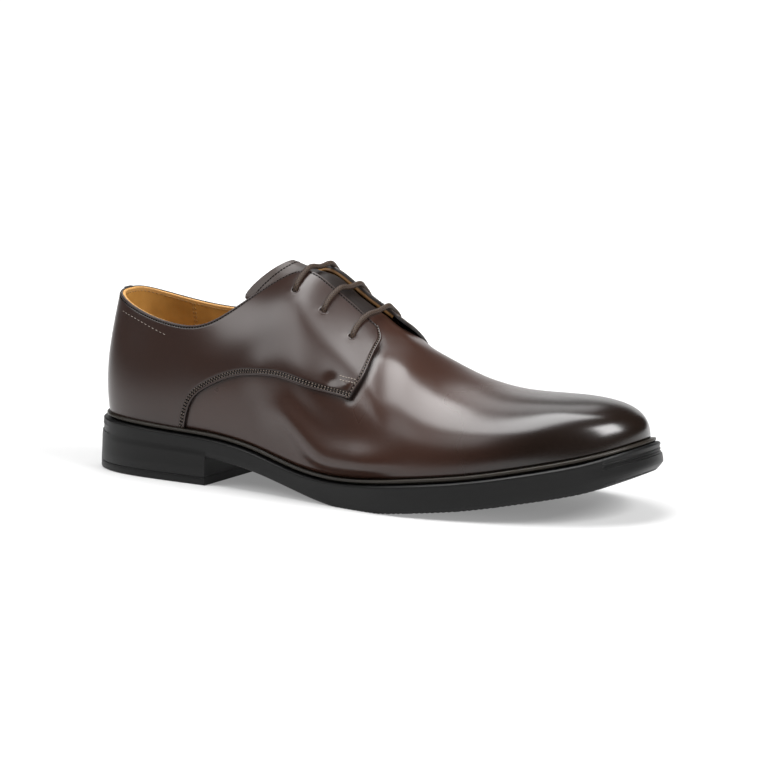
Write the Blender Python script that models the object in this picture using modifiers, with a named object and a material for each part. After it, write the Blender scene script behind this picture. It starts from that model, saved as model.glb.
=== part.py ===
"""Plain-toe lace-up dress shoe, right foot: sole unit, welt, upper, side panels, tongue and laces."""

import bpy
import numpy as np

# Sizes in millimetres; x runs from the heel to the toe, y to the inner side, z up from the floor.
MM = 0.001
LENGTH = 302.0
STATIONS = 46
THROAT_END = 0.665
UPPER_WALL = 1.6
PANEL_THICK = 1.2
STRIP_THICK = 0.9
GAP = 0.3
PANEL_GAP = 0.35
WELT_THICK = 2.2
LIFT_HEIGHT = 4.0
BREAST = 0.265
INSOLE_THICK = 3.0
TONGUE_THICK = 1.8
LACE_RADIUS = 1.35

# Sole edge seen from above: share of the length, centre line, half width
OUTLINE = np.array((
    (0.00, -1.4, 0.0),
    (0.03, -1.3, 22.0),
    (0.10, -1.0, 32.2),
    (0.20, -1.6, 34.6),
    (0.32, -3.9, 34.6),
    (0.44, -7.0, 36.7),
    (0.56, -7.6, 43.8),
    (0.66, -4.2, 50.2),
    (0.74, 0.0, 51.9),
    (0.82, 3.0, 49.6),
    (0.90, 5.1, 41.6),
    (0.96, 5.8, 29.0),
    (1.00, 6.0, 0.0)))

# Heights along the sole: share, foot of the upper, underside of the arch and forefoot
LEVELS = np.array((
    (0.00, 28.5, 15.0),
    (0.10, 27.7, 14.9),
    (0.20, 26.5, 14.6),
    (0.27, 25.6, 13.7),
    (0.36, 21.8, 10.2),
    (0.44, 16.2, 4.9),
    (0.52, 13.9, 0.4),
    (0.60, 15.2, -0.4),
    (0.68, 17.9, 1.9),
    (0.76, 21.0, 4.8),
    (0.84, 25.2, 9.0),
    (0.92, 30.0, 13.6),
    (1.00, 36.2, 20.2)))

# Distance from the sole edge in to the foot of the upper: share, distance
LEDGE = np.array((
    (0.00, 5.2),
    (0.10, 5.2),
    (0.25, 4.5),
    (0.40, 3.5),
    (0.55, 4.0),
    (0.75, 5.0),
    (0.90, 5.1),
    (1.00, 4.6)))

# Collar, facing edge and then the ridge of the vamp:
# share, x, half width, height, how far the inner side stands above that, angle of the wall there
TOPLINE = np.array((
    (0.00, 11.2, 0.0, 90.0, 0.0, 78.0),
    (0.03, 14.2, 11.5, 88.7, 0.2, 80.0),
    (0.10, 29.0, 21.0, 83.8, 0.3, 82.0),
    (0.20, 57.0, 26.7, 78.8, 1.0, 82.0),
    (0.27, 77.0, 26.0, 81.2, 1.4, 72.0),
    (0.33, 94.0, 21.0, 91.2, 1.0, 58.0),
    (0.39, 110.0, 14.0, 101.6, 0.3, 43.0),
    (0.44, 123.0, 10.0, 106.0, 0.0, 32.0),
    (0.50, 137.0, 9.5, 99.6, 0.0, 27.0),
    (0.56, 152.0, 9.0, 89.5, 0.7, 22.0),
    (0.62, 167.5, 7.6, 79.2, 1.2, 14.0),
    (0.67, 181.0, 0.0, 70.6, 0.0, 0.0),
    (0.72, 193.0, 0.0, 63.2, 0.0, 0.0),
    (0.78, 209.0, 0.0, 56.9, 0.0, 0.0),
    (0.84, 224.0, 0.0, 54.0, 0.0, 0.0),
    (0.90, 239.0, 0.0, 53.4, 0.0, 0.0),
    (0.95, 251.0, 0.0, 53.5, 0.0, 0.0),
    (1.00, 262.0, 0.0, 53.5, 0.0, 0.0)))

# Fullness of the wall: share, height of the lower handle, lean outwards, length of the upper handle
WALL = np.array((
    (0.00, 0.40, 2.6, 0.35),
    (0.20, 0.40, 3.6, 0.35),
    (0.40, 0.42, 3.0, 0.42),
    (0.60, 0.48, 3.0, 0.42),
    (0.72, 0.54, 1.7, 0.50),
    (0.82, 0.56, 1.5, 0.70),
    (0.92, 0.78, -1.5, 0.75),
    (1.00, 0.68, 1.0, 0.72)))

# Sideways place of the ridge: share, y
RIDGE = np.array((
    (0.00, -1.0),
    (0.20, -1.0),
    (0.42, -1.5),
    (0.66, 0.0),
    (0.85, 3.5),
    (1.00, 5.0)))

# Lower seam of a side panel: share at the foot, height up the wall
SEAM = np.array((
    (0.000, 0.000),
    (0.214, 0.000),
    (0.224, 0.150),
    (0.243, 0.306),
    (0.270, 0.395),
    (0.305, 0.440),
    (0.373, 0.418),
    (0.455, 0.375),
    (0.530, 0.386),
    (0.578, 0.398)))

# Front edge of a side panel: height up the wall, share
FRONT = np.array((
    (0.000, 0.578),
    (0.398, 0.578),
    (0.500, 0.598),
    (0.650, 0.615),
    (0.820, 0.621),
    (0.950, 0.614),
    (1.000, 0.602)))

# Extra columns of a side panel where its seam turns up from the foot, as shares
SEAM_COLUMNS = (0.214, 0.224, 0.243, 0.270)
PANEL_BACK = 0.012
SHEAR_START = 0.45

# Distance from the sole edge in to the welt's edge: share, distance
WELT_EDGE = np.array((
    (0.00, 2.6),
    (0.08, 1.9),
    (0.20, 1.7),
    (0.90, 1.7),
    (1.00, 2.2)))

# Side of the sole unit: share of the thickness below the top edge, set back, depth of the end bands,
# and what the toe adds to the set back
SIDE_STEPS = np.array((
    (0.00, 1.2, 0.0, -0.2),
    (0.07, 0.1, 0.0, -0.3),
    (0.23, 0.0, 0.0, -0.7),
    (0.28, 0.1, 0.7, -0.9),
    (0.56, 0.1, 0.7, -1.6),
    (0.61, 0.0, 0.0, -1.6),
    (0.92, 0.2, 0.0, 1.4),
    (1.00, 1.1, 0.0, 3.0)))
HEEL_FLARE = 0.8

# Eyelets and their lace bars: share, height up the wall
EYELETS = (
    (0.447, 0.853),
    (0.515, 0.825),
    (0.578, 0.786))

UPPER_ROWS = (0.0, 0.10, 0.21, 0.33, 0.45, 0.57, 0.69, 0.80, 0.90, 1.0)


def ease(amount):
    """Soft step from 0 to 1."""
    amount = np.clip(amount, 0, 1)
    return amount * amount * (3 - 2 * amount)


def turn(share):
    """Angle round the sole of a share of the length; it opens up the rounded ends."""
    return np.arccos(np.clip(1 - 2 * np.asarray(share, float), -1, 1))


def share_at(ring):
    return (1 - np.cos(ring)) / 2


def spline(knots, values, at):
    """Smooth curve through the knots."""
    steps = np.diff(knots)
    count = len(knots)
    system = np.eye(count)
    right = np.zeros(count)
    for i in range(1, count - 1):
        system[i, i - 1:i + 2] = steps[i - 1], 2 * (steps[i - 1] + steps[i]), steps[i]
        right[i] = 6 * ((values[i + 1] - values[i]) / steps[i] - (values[i] - values[i - 1]) / steps[i - 1])
    bend = np.linalg.solve(system, right)
    i = np.clip(np.searchsorted(knots, at) - 1, 0, count - 2)
    after, before, step = at - knots[i], knots[i + 1] - at, steps[i]
    curve = (bend[i] * before ** 3 + bend[i + 1] * after ** 3) / (6 * step)
    curve += (values[i] / step - bend[i] * step / 6) * before
    curve += (values[i + 1] / step - bend[i + 1] * step / 6) * after
    return curve


def read(table, column, ring, odd=False):
    """A table's column at an angle round the sole: 0 heel, outer side to pi at the toe, back inside."""
    knots = turn(table[:, 0])
    values = table[:, column]
    sign = -1 if odd else 1
    knots = np.concatenate((-knots[:0:-1], knots, 2 * np.pi - knots[-2::-1]))
    values = np.concatenate((sign * values[:0:-1], values, sign * values[-2::-1]))
    return spline(knots, values, np.mod(ring + 1.0, 2 * np.pi) - 1.0)


def sole_edge(ring):
    half = read(OUTLINE, 2, ring, odd=True)
    return np.stack((LENGTH / 2 * (1 - np.cos(ring)), read(OUTLINE, 1, ring) - half), -1)


def outward(ring):
    along = sole_edge(ring + 0.001) - sole_edge(ring - 0.001)
    along /= np.linalg.norm(along, axis=-1, keepdims=True)
    return np.stack((along[..., 1], -along[..., 0]), -1)


def foot_level(ring):
    return read(LEVELS, 1, ring)


def sole_bottom(ring):
    """Underside of the arch and forefoot, with a flat spot to stand on."""
    return np.maximum(read(LEVELS, 2, ring), 0.0)


def with_height(flat, height):
    height = np.broadcast_to(height, flat.shape[:-1])
    return np.concatenate((flat, height[..., None]), -1)


def last(ring, up):
    """Outer face of the upper: ring is the angle round the sole, up goes from its foot to its top line."""
    ring, up = np.broadcast_arrays(np.asarray(ring, float), np.asarray(up, float))
    share = share_at(ring)
    out = outward(ring)
    foot = sole_edge(ring) - read(LEDGE, 1, ring)[..., None] * out
    low = foot_level(ring) + GAP
    half = np.where(share >= THROAT_END, 0.0, read(TOPLINE, 2, ring, odd=True))
    top = np.stack((read(TOPLINE, 1, ring), read(RIDGE, 1, ring) - half), -1)
    extra = ease((THROAT_END - share) / 0.03) * read(TOPLINE, 4, ring, odd=True)
    high = read(TOPLINE, 3, ring) - extra
    run = read(TOPLINE, 1, ring + 0.01) - read(TOPLINE, 1, ring - 0.01)
    rise = read(TOPLINE, 3, ring + 0.01) - read(TOPLINE, 3, ring - 0.01)
    run = np.where(np.abs(run) < 0.001, 0.001, run)
    slope = np.where(share > 0.98, 0.0, rise / run) * ease((share - 0.48) / 0.19) * ease((0.98 - share) / 0.07)
    angle = np.radians(np.maximum(read(TOPLINE, 5, ring), 0.0))
    lower, lean, upper = (read(WALL, column, ring) for column in (1, 2, 3))
    tall = high - low
    reach = np.linalg.norm(foot - top, axis=-1)
    handle = upper * (reach * np.cos(angle) + tall * np.sin(angle))
    sideways = (handle * np.cos(angle))[..., None] * out
    corners = (
        with_height(foot, low),
        with_height(foot + lean[..., None] * out, low + lower * tall),
        with_height(top + sideways, high + slope * sideways[..., 0] - handle * np.sin(angle)),
        with_height(top, high))
    u = up[..., None]
    weights = ((1 - u) ** 3, 3 * u * (1 - u) ** 2, 3 * u * u * (1 - u), u ** 3)
    return sum(weight * corner for weight, corner in zip(weights, corners))


def skin(ring, up, out):
    """The upper's face moved out along its own normal."""
    ring, up = np.broadcast_arrays(np.asarray(ring, float), np.asarray(up, float))
    step = 0.002
    across = last(ring + step, up) - last(ring - step, up)
    rising = last(ring, np.minimum(up + step, 1)) - last(ring, np.maximum(up - step, 0))
    normal = np.cross(across, rising)
    normal /= np.linalg.norm(normal, axis=-1, keepdims=True)
    return last(ring, up) + out * normal


def ring_stations():
    """Angles of the columns all round, with one on the heel breast at each side."""
    steps = np.arange(2 * STATIONS) / STATIONS
    ring = np.pi * steps + 0.15 * np.sin(2 * np.pi * steps)
    breast = int(np.argmin(np.abs(share_at(ring[:STATIONS]) - BREAST)))
    ring[breast] = turn(BREAST)
    ring[-breast] = 2 * np.pi - ring[breast]
    return ring, breast


RINGS, BREAST_STATION = ring_stations()
SIDE_EDGE = sole_edge(RINGS)[:, 1]
MIDDLE = np.array((LENGTH / 2, (SIDE_EDGE.min() + SIDE_EDGE.max()) / 2, 0.0))


def make_material(name, colour, roughness):
    material = bpy.data.materials.new(name)
    material.use_nodes = True
    shader = material.node_tree.nodes["Principled BSDF"]
    shader.inputs["Base Color"].default_value = (*colour, 1.0)
    shader.inputs["Roughness"].default_value = roughness
    shader.inputs["Metallic"].default_value = 0.0
    material.diffuse_color = (*colour, 1.0)
    return material


def add_part(name, points, faces, material):
    placed = (np.asarray(points) - MIDDLE) * MM
    mesh = bpy.data.meshes.new(name)
    mesh.from_pydata(placed.tolist(), [], faces)
    mesh.update()
    part = bpy.data.objects.new(name, mesh)
    part.data.materials.append(material)
    shoe.objects.link(part)
    return part


def thicken(part, thickness, side):
    """Solidify a sheet: side 1 adds on its outer face, -1 on its inner face."""
    solid = part.modifiers.new("thickness", "SOLIDIFY")
    solid.thickness = thickness * MM
    solid.offset = side
    solid.use_even_offset = True
    solid.use_rim = True


def sheet_faces(columns, rows, flip):
    """Quads of a grid that is stored column by column."""
    faces = []
    for i in range(columns - 1):
        for j in range(rows - 1):
            corner = i * rows + j
            face = (corner, corner + rows, corner + rows + 1, corner + 1)
            faces.append(face[::-1] if flip else face)
    return faces


def stacked_solid(name, rings, first, last_station, material):
    """Solid from closed rings, top ring first, whose two halves are joined across by strips.

    Each ring holds the outer side from station first to last_station and then the inner side back.
    """
    count = len(rings[0])
    points = np.concatenate(rings)
    faces = []
    for level in range(len(rings) - 1):
        upper, lower = level * count, (level + 1) * count
        for i in range(count):
            j = (i + 1) % count
            faces.append((lower + i, lower + j, upper + j, upper + i))
    bottom = (len(rings) - 1) * count
    for start, upwards in ((0, True), (bottom, False)):
        for face in strips(count, first, last_station):
            face = tuple(start + i for i in face)
            faces.append(face if upwards else face[::-1])
    return add_part(name, points, faces, material)


def strips(count, first, last_station):
    """Faces across a ring, seen from above; the ends are triangles where both sides share a point."""
    pairs = []
    for step in range(last_station - first + 1):
        pairs.append((step, (count - step) % count if first == 0 else count - 1 - step))
    faces = []
    for (a, d), (b, c) in zip(pairs, pairs[1:]):
        face = [a]
        for corner in (b, c, d):
            if corner not in face:
                face.append(corner)
        faces.append(tuple(face))
    return faces


def ring_at(ring, set_back, height):
    flat = sole_edge(ring) - np.broadcast_to(set_back, ring.shape)[:, None] * outward(ring)
    return with_height(flat, height)


def end_bands(ring):
    """Where the sunk bands of the sole's side lie: round the back of the heel and the toe front."""
    share = share_at(ring)
    heel = np.clip((0.045 - share) / 0.03, 0, 1)
    toe = np.clip((share - 0.962) / 0.008, 0, 1)
    return np.maximum(heel, toe)


def add_outsole(material):
    """Forefoot, arch and heel block in one: side rings, top and bottom strips and the heel breast."""
    ring = RINGS
    count = len(ring)
    heel = share_at(ring) <= BREAST + 1e-6
    top = foot_level(ring) - WELT_THICK - GAP
    bottom = sole_bottom(ring)
    bands = end_bands(ring)
    levels = []
    toe = ease((share_at(ring) - 0.93) / 0.07)
    for drop, set_back, depth, toe_back in SIDE_STEPS:
        back = np.where(heel & (drop > 0.9), -0.3, set_back) + depth * bands + toe_back * toe
        levels.append(ring_at(ring, back, top + drop * (bottom - top)))
    seat = LIFT_HEIGHT + GAP
    heel_levels = (ring_at(ring, -HEEL_FLARE, seat + 0.3), ring_at(ring, 0.3 - HEEL_FLARE, seat))
    points = np.concatenate(levels + list(heel_levels))
    faces = []
    low = len(levels) - 1
    for level in range(low + 2):
        upper, lower = level * count, (level + 1) * count
        for i in range(count):
            j = (i + 1) % count
            if level < low or (heel[i] and heel[j]):
                faces.append((lower + i, lower + j, upper + j, upper + i))
    across = strips(count, 0, STATIONS)
    arch, seat_row = low * count, (low + 2) * count
    for step, face in enumerate(across):
        faces.append(face)
        start = seat_row if step < BREAST_STATION else arch
        faces.append(tuple(start + i for i in face)[::-1])
    outer, inner = BREAST_STATION, count - BREAST_STATION
    rows = (low, low + 1, low + 2)
    down = [row * count + outer for row in rows]
    back_up = [row * count + inner for row in rows[::-1]]
    faces.append(tuple(down + back_up))
    return add_part("outsole", points, faces, material)


def heel_stations():
    """Stations of the heel only: breast on the inner side, round the back, breast on the outer side."""
    return np.concatenate((RINGS[-BREAST_STATION:] - 2 * np.pi, RINGS[:BREAST_STATION + 1]))


def add_heel_top_lift(material):
    ring = heel_stations()
    rows = ((0.1 - HEEL_FLARE, LIFT_HEIGHT), (0.0 - HEEL_FLARE, 0.7), (0.6 - HEEL_FLARE, 0.0))
    rings = [ring_at(ring, set_back, np.full(ring.shape, height)) for set_back, height in rows]
    count = len(ring)
    points = np.concatenate(rings)
    faces = []
    for level in range(len(rings) - 1):
        upper, lower = level * count, (level + 1) * count
        for i in range(count):
            j = (i + 1) % count
            faces.append((lower + i, lower + j, upper + j, upper + i))
    middle = count // 2
    for start, upwards in ((0, True), ((len(rings) - 1) * count, False)):
        for step in range(middle):
            near, far = middle - step, middle - step - 1
            face = [start + near, start + count - 1 - far, start + far]
            if step:
                face.insert(1, start + count - 1 - near)
            faces.append(tuple(face) if upwards else tuple(face[::-1]))
    return add_part("heel_top_lift", points, faces, material)


def add_plate(name, set_back, base, thickness, material):
    """Thin plate that follows the foot level inside the sole edge."""
    level = foot_level(RINGS) + base
    rings = (ring_at(RINGS, set_back + 0.3, level + thickness),
             ring_at(RINGS, set_back, level + 0.75 * thickness),
             ring_at(RINGS, set_back + 0.2, level))
    return stacked_solid(name, rings, 0, STATIONS, material)


def add_upper(material):
    """Vamp and lining as one shell: columns all round, joined along the ridge past the throat."""
    rows = len(UPPER_ROWS)
    count = len(RINGS)
    grid = last(RINGS[:, None], np.array(UPPER_ROWS)[None, :])
    closed = share_at(RINGS) >= THROAT_END
    points = grid.reshape(-1, 3)
    index = np.arange(count * rows).reshape(count, rows)
    for i in range(STATIONS + 1, count):
        if closed[i]:
            index[i, -1] = index[count - i, -1]
    used = np.unique(index)
    place = np.zeros(count * rows, int)
    place[used] = np.arange(len(used))
    faces = []
    for i in range(count):
        j = (i + 1) % count
        for row in range(rows - 1):
            corners = (index[i, row], index[j, row], index[j, row + 1], index[i, row + 1])
            face = []
            for corner in corners:
                if int(place[corner]) not in face:
                    face.append(int(place[corner]))
            faces.append(tuple(face))
    part = add_part("upper", points[used], faces, material)
    thicken(part, UPPER_WALL, -1)
    return part


def panel_columns():
    """Angles of a side panel's columns at its foot: the upper's own, and those of the seam's turn."""
    front = turn(FRONT[0, 1])
    extra = turn(SEAM_COLUMNS)
    own = RINGS[(RINGS > 0) & (RINGS < front - 0.03)]
    own = own[np.min(np.abs(own[:, None] - extra[None, :]), axis=1) > 0.02]
    return np.sort(np.concatenate(([PANEL_BACK, front], own, extra)))


def panel_grid():
    """Ring and height of a side panel's points: columns from the back to the facing's front edge."""
    foot = panel_columns()
    low = np.interp(share_at(foot), SEAM[:, 0], SEAM[:, 1])
    rows = np.array(UPPER_ROWS)
    up = low[:, None] + (1 - low[:, None]) * rows[None, :]
    front = turn(np.interp(up, FRONT[:, 0], FRONT[:, 1]))
    start = turn(SHEAR_START)
    shear = np.clip((foot - start) / (foot[-1] - start), 0, 1)[:, None]
    return foot[:, None] + shear * (front - foot[-1]), up


def add_panel(name, inner_side, material):
    ring, up = panel_grid()
    columns, rows = ring.shape
    ring = 2 * np.pi - ring if inner_side else ring
    points = skin(ring, up, PANEL_GAP).reshape(-1, 3)
    part = add_part(name, points, sheet_faces(columns, rows, flip=inner_side), material)
    thicken(part, PANEL_THICK, 1)
    return part


def add_back_strip(material):
    ring = np.linspace(-0.085, 0.085, 7)
    up = np.linspace(0.60, 1.0, 7)
    points = skin(ring[:, None], up[None, :], PANEL_GAP + PANEL_THICK + GAP).reshape(-1, 3)
    part = add_part("back_strip", points, sheet_faces(len(ring), len(up), flip=False), material)
    thicken(part, STRIP_THICK, 1)
    return part


def even_points(path, count):
    """The same path with evenly spaced points."""
    lengths = np.concatenate(([0.0], np.cumsum(np.linalg.norm(np.diff(path, axis=0), axis=1))))
    at = np.linspace(0, lengths[-1], count)
    return np.stack([np.interp(at, lengths, path[:, axis]) for axis in range(3)], -1)


def tongue_section(share, low_up, count):
    """A line across the tongue, just under the upper, bridging the throat."""
    up = np.linspace(low_up, 1.0, 9)
    depth = -(UPPER_WALL + 2 * GAP)
    outer = skin(turn(share), up, depth)
    inner = skin(2 * np.pi - turn(share), up, depth)[::-1]
    width = np.linalg.norm(outer[-1] - inner[0])
    crown = (outer[-1] + inner[0]) / 2 + np.array((0, 0, 0.06 * width))
    return even_points(np.concatenate((outer, crown[None, :], inner)), count)


def tongue_points():
    """Lines across the tongue, from under the vamp to its free end behind the facings."""
    across = 13
    rows = []
    for share, low_up in ((0.70, 0.90), (0.66, 0.84), (0.62, 0.80), (0.57, 0.80), (0.52, 0.81), (0.47, 0.83)):
        rows.append(tongue_section(share, low_up, across))
    side = np.linspace(-1, 1, across)
    base = rows[-1]
    end = np.stack((107 - 15 * side ** 2, 16 * side - 1.2, 108.9 - 14.1 * side ** 2), -1)
    for step in (0.25, 0.5, 0.75, 1.0):
        row = base + step * (end - base)
        row[:, 2] -= 6.4 * step * (1 - step) * np.abs(side)
        rows.append(row)
    return np.array(rows)


def add_tongue(material):
    grid = tongue_points()
    part = add_part("tongue", grid.reshape(-1, 3), sheet_faces(*grid.shape[:2], flip=True), material)
    thicken(part, TONGUE_THICK, -1)
    return part


def add_lace_bar(number, share, up, material):
    """One straight bar of round lace over both facings, lying just above the side panels."""
    above = PANEL_GAP + PANEL_THICK + GAP + LACE_RADIUS
    ups = np.linspace(up, 1.0, 5)
    outer = skin(turn(share), ups, above)
    inner = skin(2 * np.pi - turn(share), ups, above)[::-1]
    crown = (outer[-1] + inner[0]) / 2 + np.array((0, 0, 1.4))
    path = np.concatenate((outer, crown[None, :], inner))
    curve = bpy.data.curves.new(f"lace_bar_{number}", "CURVE")
    curve.dimensions = "3D"
    curve.bevel_depth = LACE_RADIUS * MM
    curve.bevel_resolution = 2
    curve.use_fill_caps = True
    line = curve.splines.new("POLY")
    line.points.add(len(path) - 1)
    for point, place in zip(line.points, (path - MIDDLE) * MM):
        point.co = (*place, 1.0)
    bar = bpy.data.objects.new(f"lace_bar_{number}", curve)
    curve.materials.append(material)
    shoe.objects.link(bar)
    return bar


for old in list(bpy.data.objects):
    bpy.data.objects.remove(old)

shoe = bpy.data.collections.new("dress_shoe")
bpy.context.scene.collection.children.link(shoe)

rubber = make_material("black_rubber", (0.024, 0.024, 0.025), 0.55)
lift_rubber = make_material("heel_lift_rubber", (0.020, 0.020, 0.021), 0.60)
welt_strip = make_material("welt_strip", (0.033, 0.030, 0.024), 0.50)
vamp_leather = make_material("brown_calf_vamp", (0.045, 0.026, 0.020), 0.30)
panel_leather = make_material("brown_calf_panel", (0.042, 0.024, 0.019), 0.30)
strip_leather = make_material("brown_calf_strip", (0.035, 0.020, 0.016), 0.32)
tongue_leather = make_material("brown_calf_tongue", (0.050, 0.036, 0.030), 0.40)
lining_leather = make_material("tan_lining", (0.330, 0.150, 0.045), 0.55)
lace_cotton = make_material("waxed_lace", (0.060, 0.046, 0.038), 0.50)

add_outsole(rubber)
add_heel_top_lift(lift_rubber)
add_plate("welt", read(WELT_EDGE, 1, RINGS), -WELT_THICK, WELT_THICK, welt_strip)
add_upper(vamp_leather)
add_panel("quarter_lateral", False, panel_leather)
add_panel("quarter_medial", True, panel_leather)
add_back_strip(strip_leather)
add_tongue(tongue_leather)
add_plate("insole", read(LEDGE, 1, RINGS) + UPPER_WALL + 0.6, GAP, INSOLE_THICK, lining_leather)
for bar_number, (bar_share, bar_up) in enumerate(EYELETS, start=1):
    add_lace_bar(bar_number, bar_share, bar_up, lace_cotton)
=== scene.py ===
"""Looks of the brown open-laced dress shoe: calf upper, tan lining, stitching, waxed laces, rubber sole."""

import math

import bmesh
import bpy
import numpy as np
from mathutils import Matrix, Vector


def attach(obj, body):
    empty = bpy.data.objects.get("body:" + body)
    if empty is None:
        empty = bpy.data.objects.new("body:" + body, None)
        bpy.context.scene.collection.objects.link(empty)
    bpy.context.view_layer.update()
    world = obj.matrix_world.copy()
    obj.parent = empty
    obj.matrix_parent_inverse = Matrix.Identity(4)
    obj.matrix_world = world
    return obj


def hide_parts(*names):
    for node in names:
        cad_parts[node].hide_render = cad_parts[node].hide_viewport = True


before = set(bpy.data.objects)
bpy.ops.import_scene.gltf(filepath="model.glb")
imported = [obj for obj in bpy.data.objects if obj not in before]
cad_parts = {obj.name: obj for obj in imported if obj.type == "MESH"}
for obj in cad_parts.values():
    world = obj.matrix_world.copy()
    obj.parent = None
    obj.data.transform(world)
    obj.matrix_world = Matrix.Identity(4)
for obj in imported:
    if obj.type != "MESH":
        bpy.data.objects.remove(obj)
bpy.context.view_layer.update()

# The shoe's own sizes in millimetres, as in the part's source; x runs from the heel to the toe
MM = 0.001
LENGTH = 302.0
MIDDLE = np.array((151.0, -0.686, 0.0))
THROAT_END = 0.665
UPPER_WALL = 1.6
PANEL_GAP = 0.35
PANEL_THICK = 1.2
PANEL_FACE = PANEL_GAP + PANEL_THICK
GAP = 0.3
WELT_THICK = 2.2
LIFT_HEIGHT = 4.0
BREAST = 0.265
INSOLE_THICK = 3.0
LACE_RADIUS = 1.3
HEEL_FLARE = 0.8

# Where the form of the last changes, in shares of the length: the top line closes at the throat's end,
# and the wall takes up the slope of the ridge and gives it up again at the toe
THROAT_CLOSE = 0.045
INNER_CLOSE = 0.03
SLOPE_START = 0.48
SLOPE_EASE = 0.19
SLOPE_END = 0.98
SLOPE_FADE = 0.07
TURN_STEP = 0.01

# Gap under a panel, and the least length that is divided by
UNDER_PANEL = 0.05
TINY = 1e-9

# Sole edge seen from above: share of the length, centre line, half width
OUTLINE = np.array((
    (0.00, -1.4, 0.0),
    (0.03, -1.3, 22.0),
    (0.10, -1.0, 32.2),
    (0.20, -1.6, 34.6),
    (0.32, -3.9, 34.6),
    (0.44, -7.0, 36.7),
    (0.56, -7.6, 43.8),
    (0.66, -4.2, 50.2),
    (0.74, 0.0, 51.9),
    (0.82, 3.0, 49.6),
    (0.90, 5.1, 41.6),
    (0.96, 5.8, 29.0),
    (1.00, 6.0, 0.0)))

# Heights along the sole: share, foot of the upper, underside of the arch and forefoot
LEVELS = np.array((
    (0.00, 28.5, 15.0),
    (0.10, 27.7, 14.9),
    (0.20, 26.5, 14.6),
    (0.27, 25.6, 13.7),
    (0.36, 21.8, 10.2),
    (0.44, 16.2, 4.9),
    (0.52, 13.9, 0.4),
    (0.60, 15.2, -0.4),
    (0.68, 17.9, 1.9),
    (0.76, 21.0, 4.8),
    (0.84, 25.2, 9.0),
    (0.92, 30.0, 13.6),
    (1.00, 36.2, 20.2)))

# Distance from the sole edge in to the foot of the upper: share, distance
LEDGE = np.array((
    (0.00, 5.2),
    (0.10, 5.2),
    (0.25, 4.5),
    (0.40, 3.5),
    (0.55, 4.0),
    (0.75, 5.0),
    (0.90, 5.1),
    (1.00, 4.6)))

# Collar, facing edge and then the ridge of the vamp:
# share, x, half width, height, how far the inner side stands above that, angle of the wall there
TOPLINE = np.array((
    (0.00, 11.2, 0.0, 90.0, 0.0, 78.0),
    (0.03, 14.2, 11.5, 88.7, 0.2, 80.0),
    (0.10, 29.0, 21.0, 83.8, 0.3, 82.0),
    (0.20, 57.0, 26.7, 78.8, 1.0, 82.0),
    (0.27, 77.0, 26.0, 81.2, 1.4, 72.0),
    (0.33, 94.0, 21.0, 91.2, 1.0, 58.0),
    (0.39, 110.0, 14.0, 101.6, 0.3, 43.0),
    (0.44, 123.0, 10.0, 106.0, 0.0, 32.0),
    (0.50, 137.0, 9.5, 99.6, 0.0, 27.0),
    (0.56, 152.0, 9.0, 89.5, 0.7, 22.0),
    (0.62, 167.5, 7.6, 79.2, 1.2, 14.0),
    (0.67, 181.0, 0.0, 70.6, 0.0, 0.0),
    (0.72, 193.0, 0.0, 63.2, 0.0, 0.0),
    (0.78, 209.0, 0.0, 56.9, 0.0, 0.0),
    (0.84, 224.0, 0.0, 54.0, 0.0, 0.0),
    (0.90, 239.0, 0.0, 53.4, 0.0, 0.0),
    (0.95, 251.0, 0.0, 53.5, 0.0, 0.0),
    (1.00, 262.0, 0.0, 53.5, 0.0, 0.0)))

# Fullness of the wall: share, height of the lower handle, lean outwards, length of the upper handle
WALL = np.array((
    (0.00, 0.40, 2.6, 0.35),
    (0.20, 0.40, 3.6, 0.35),
    (0.40, 0.42, 3.0, 0.42),
    (0.60, 0.48, 3.0, 0.42),
    (0.72, 0.54, 1.7, 0.50),
    (0.82, 0.56, 1.5, 0.70),
    (0.92, 0.78, -1.5, 0.75),
    (1.00, 0.68, 1.0, 0.72)))

# Sideways place of the ridge: share, y
RIDGE = np.array((
    (0.00, -1.0),
    (0.20, -1.0),
    (0.42, -1.5),
    (0.66, 0.0),
    (0.85, 3.5),
    (1.00, 5.0)))

# Lower seam of a side panel, from the foot to its front corner: share, height up the wall
SEAM = np.array((
    (0.214, 0.000),
    (0.224, 0.150),
    (0.243, 0.306),
    (0.270, 0.395),
    (0.305, 0.440),
    (0.373, 0.418),
    (0.455, 0.375),
    (0.530, 0.386),
    (0.578, 0.398)))

# Front edge of a side panel: height up the wall, share
FRONT = np.array((
    (0.398, 0.578),
    (0.500, 0.598),
    (0.650, 0.615),
    (0.820, 0.621),
    (0.950, 0.614),
    (1.000, 0.602)))

# Distance from the sole edge in to the welt's edge: share, distance
WELT_EDGE = np.array((
    (0.00, 2.6),
    (0.08, 1.9),
    (0.20, 1.7),
    (0.90, 1.7),
    (1.00, 2.2)))

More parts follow.
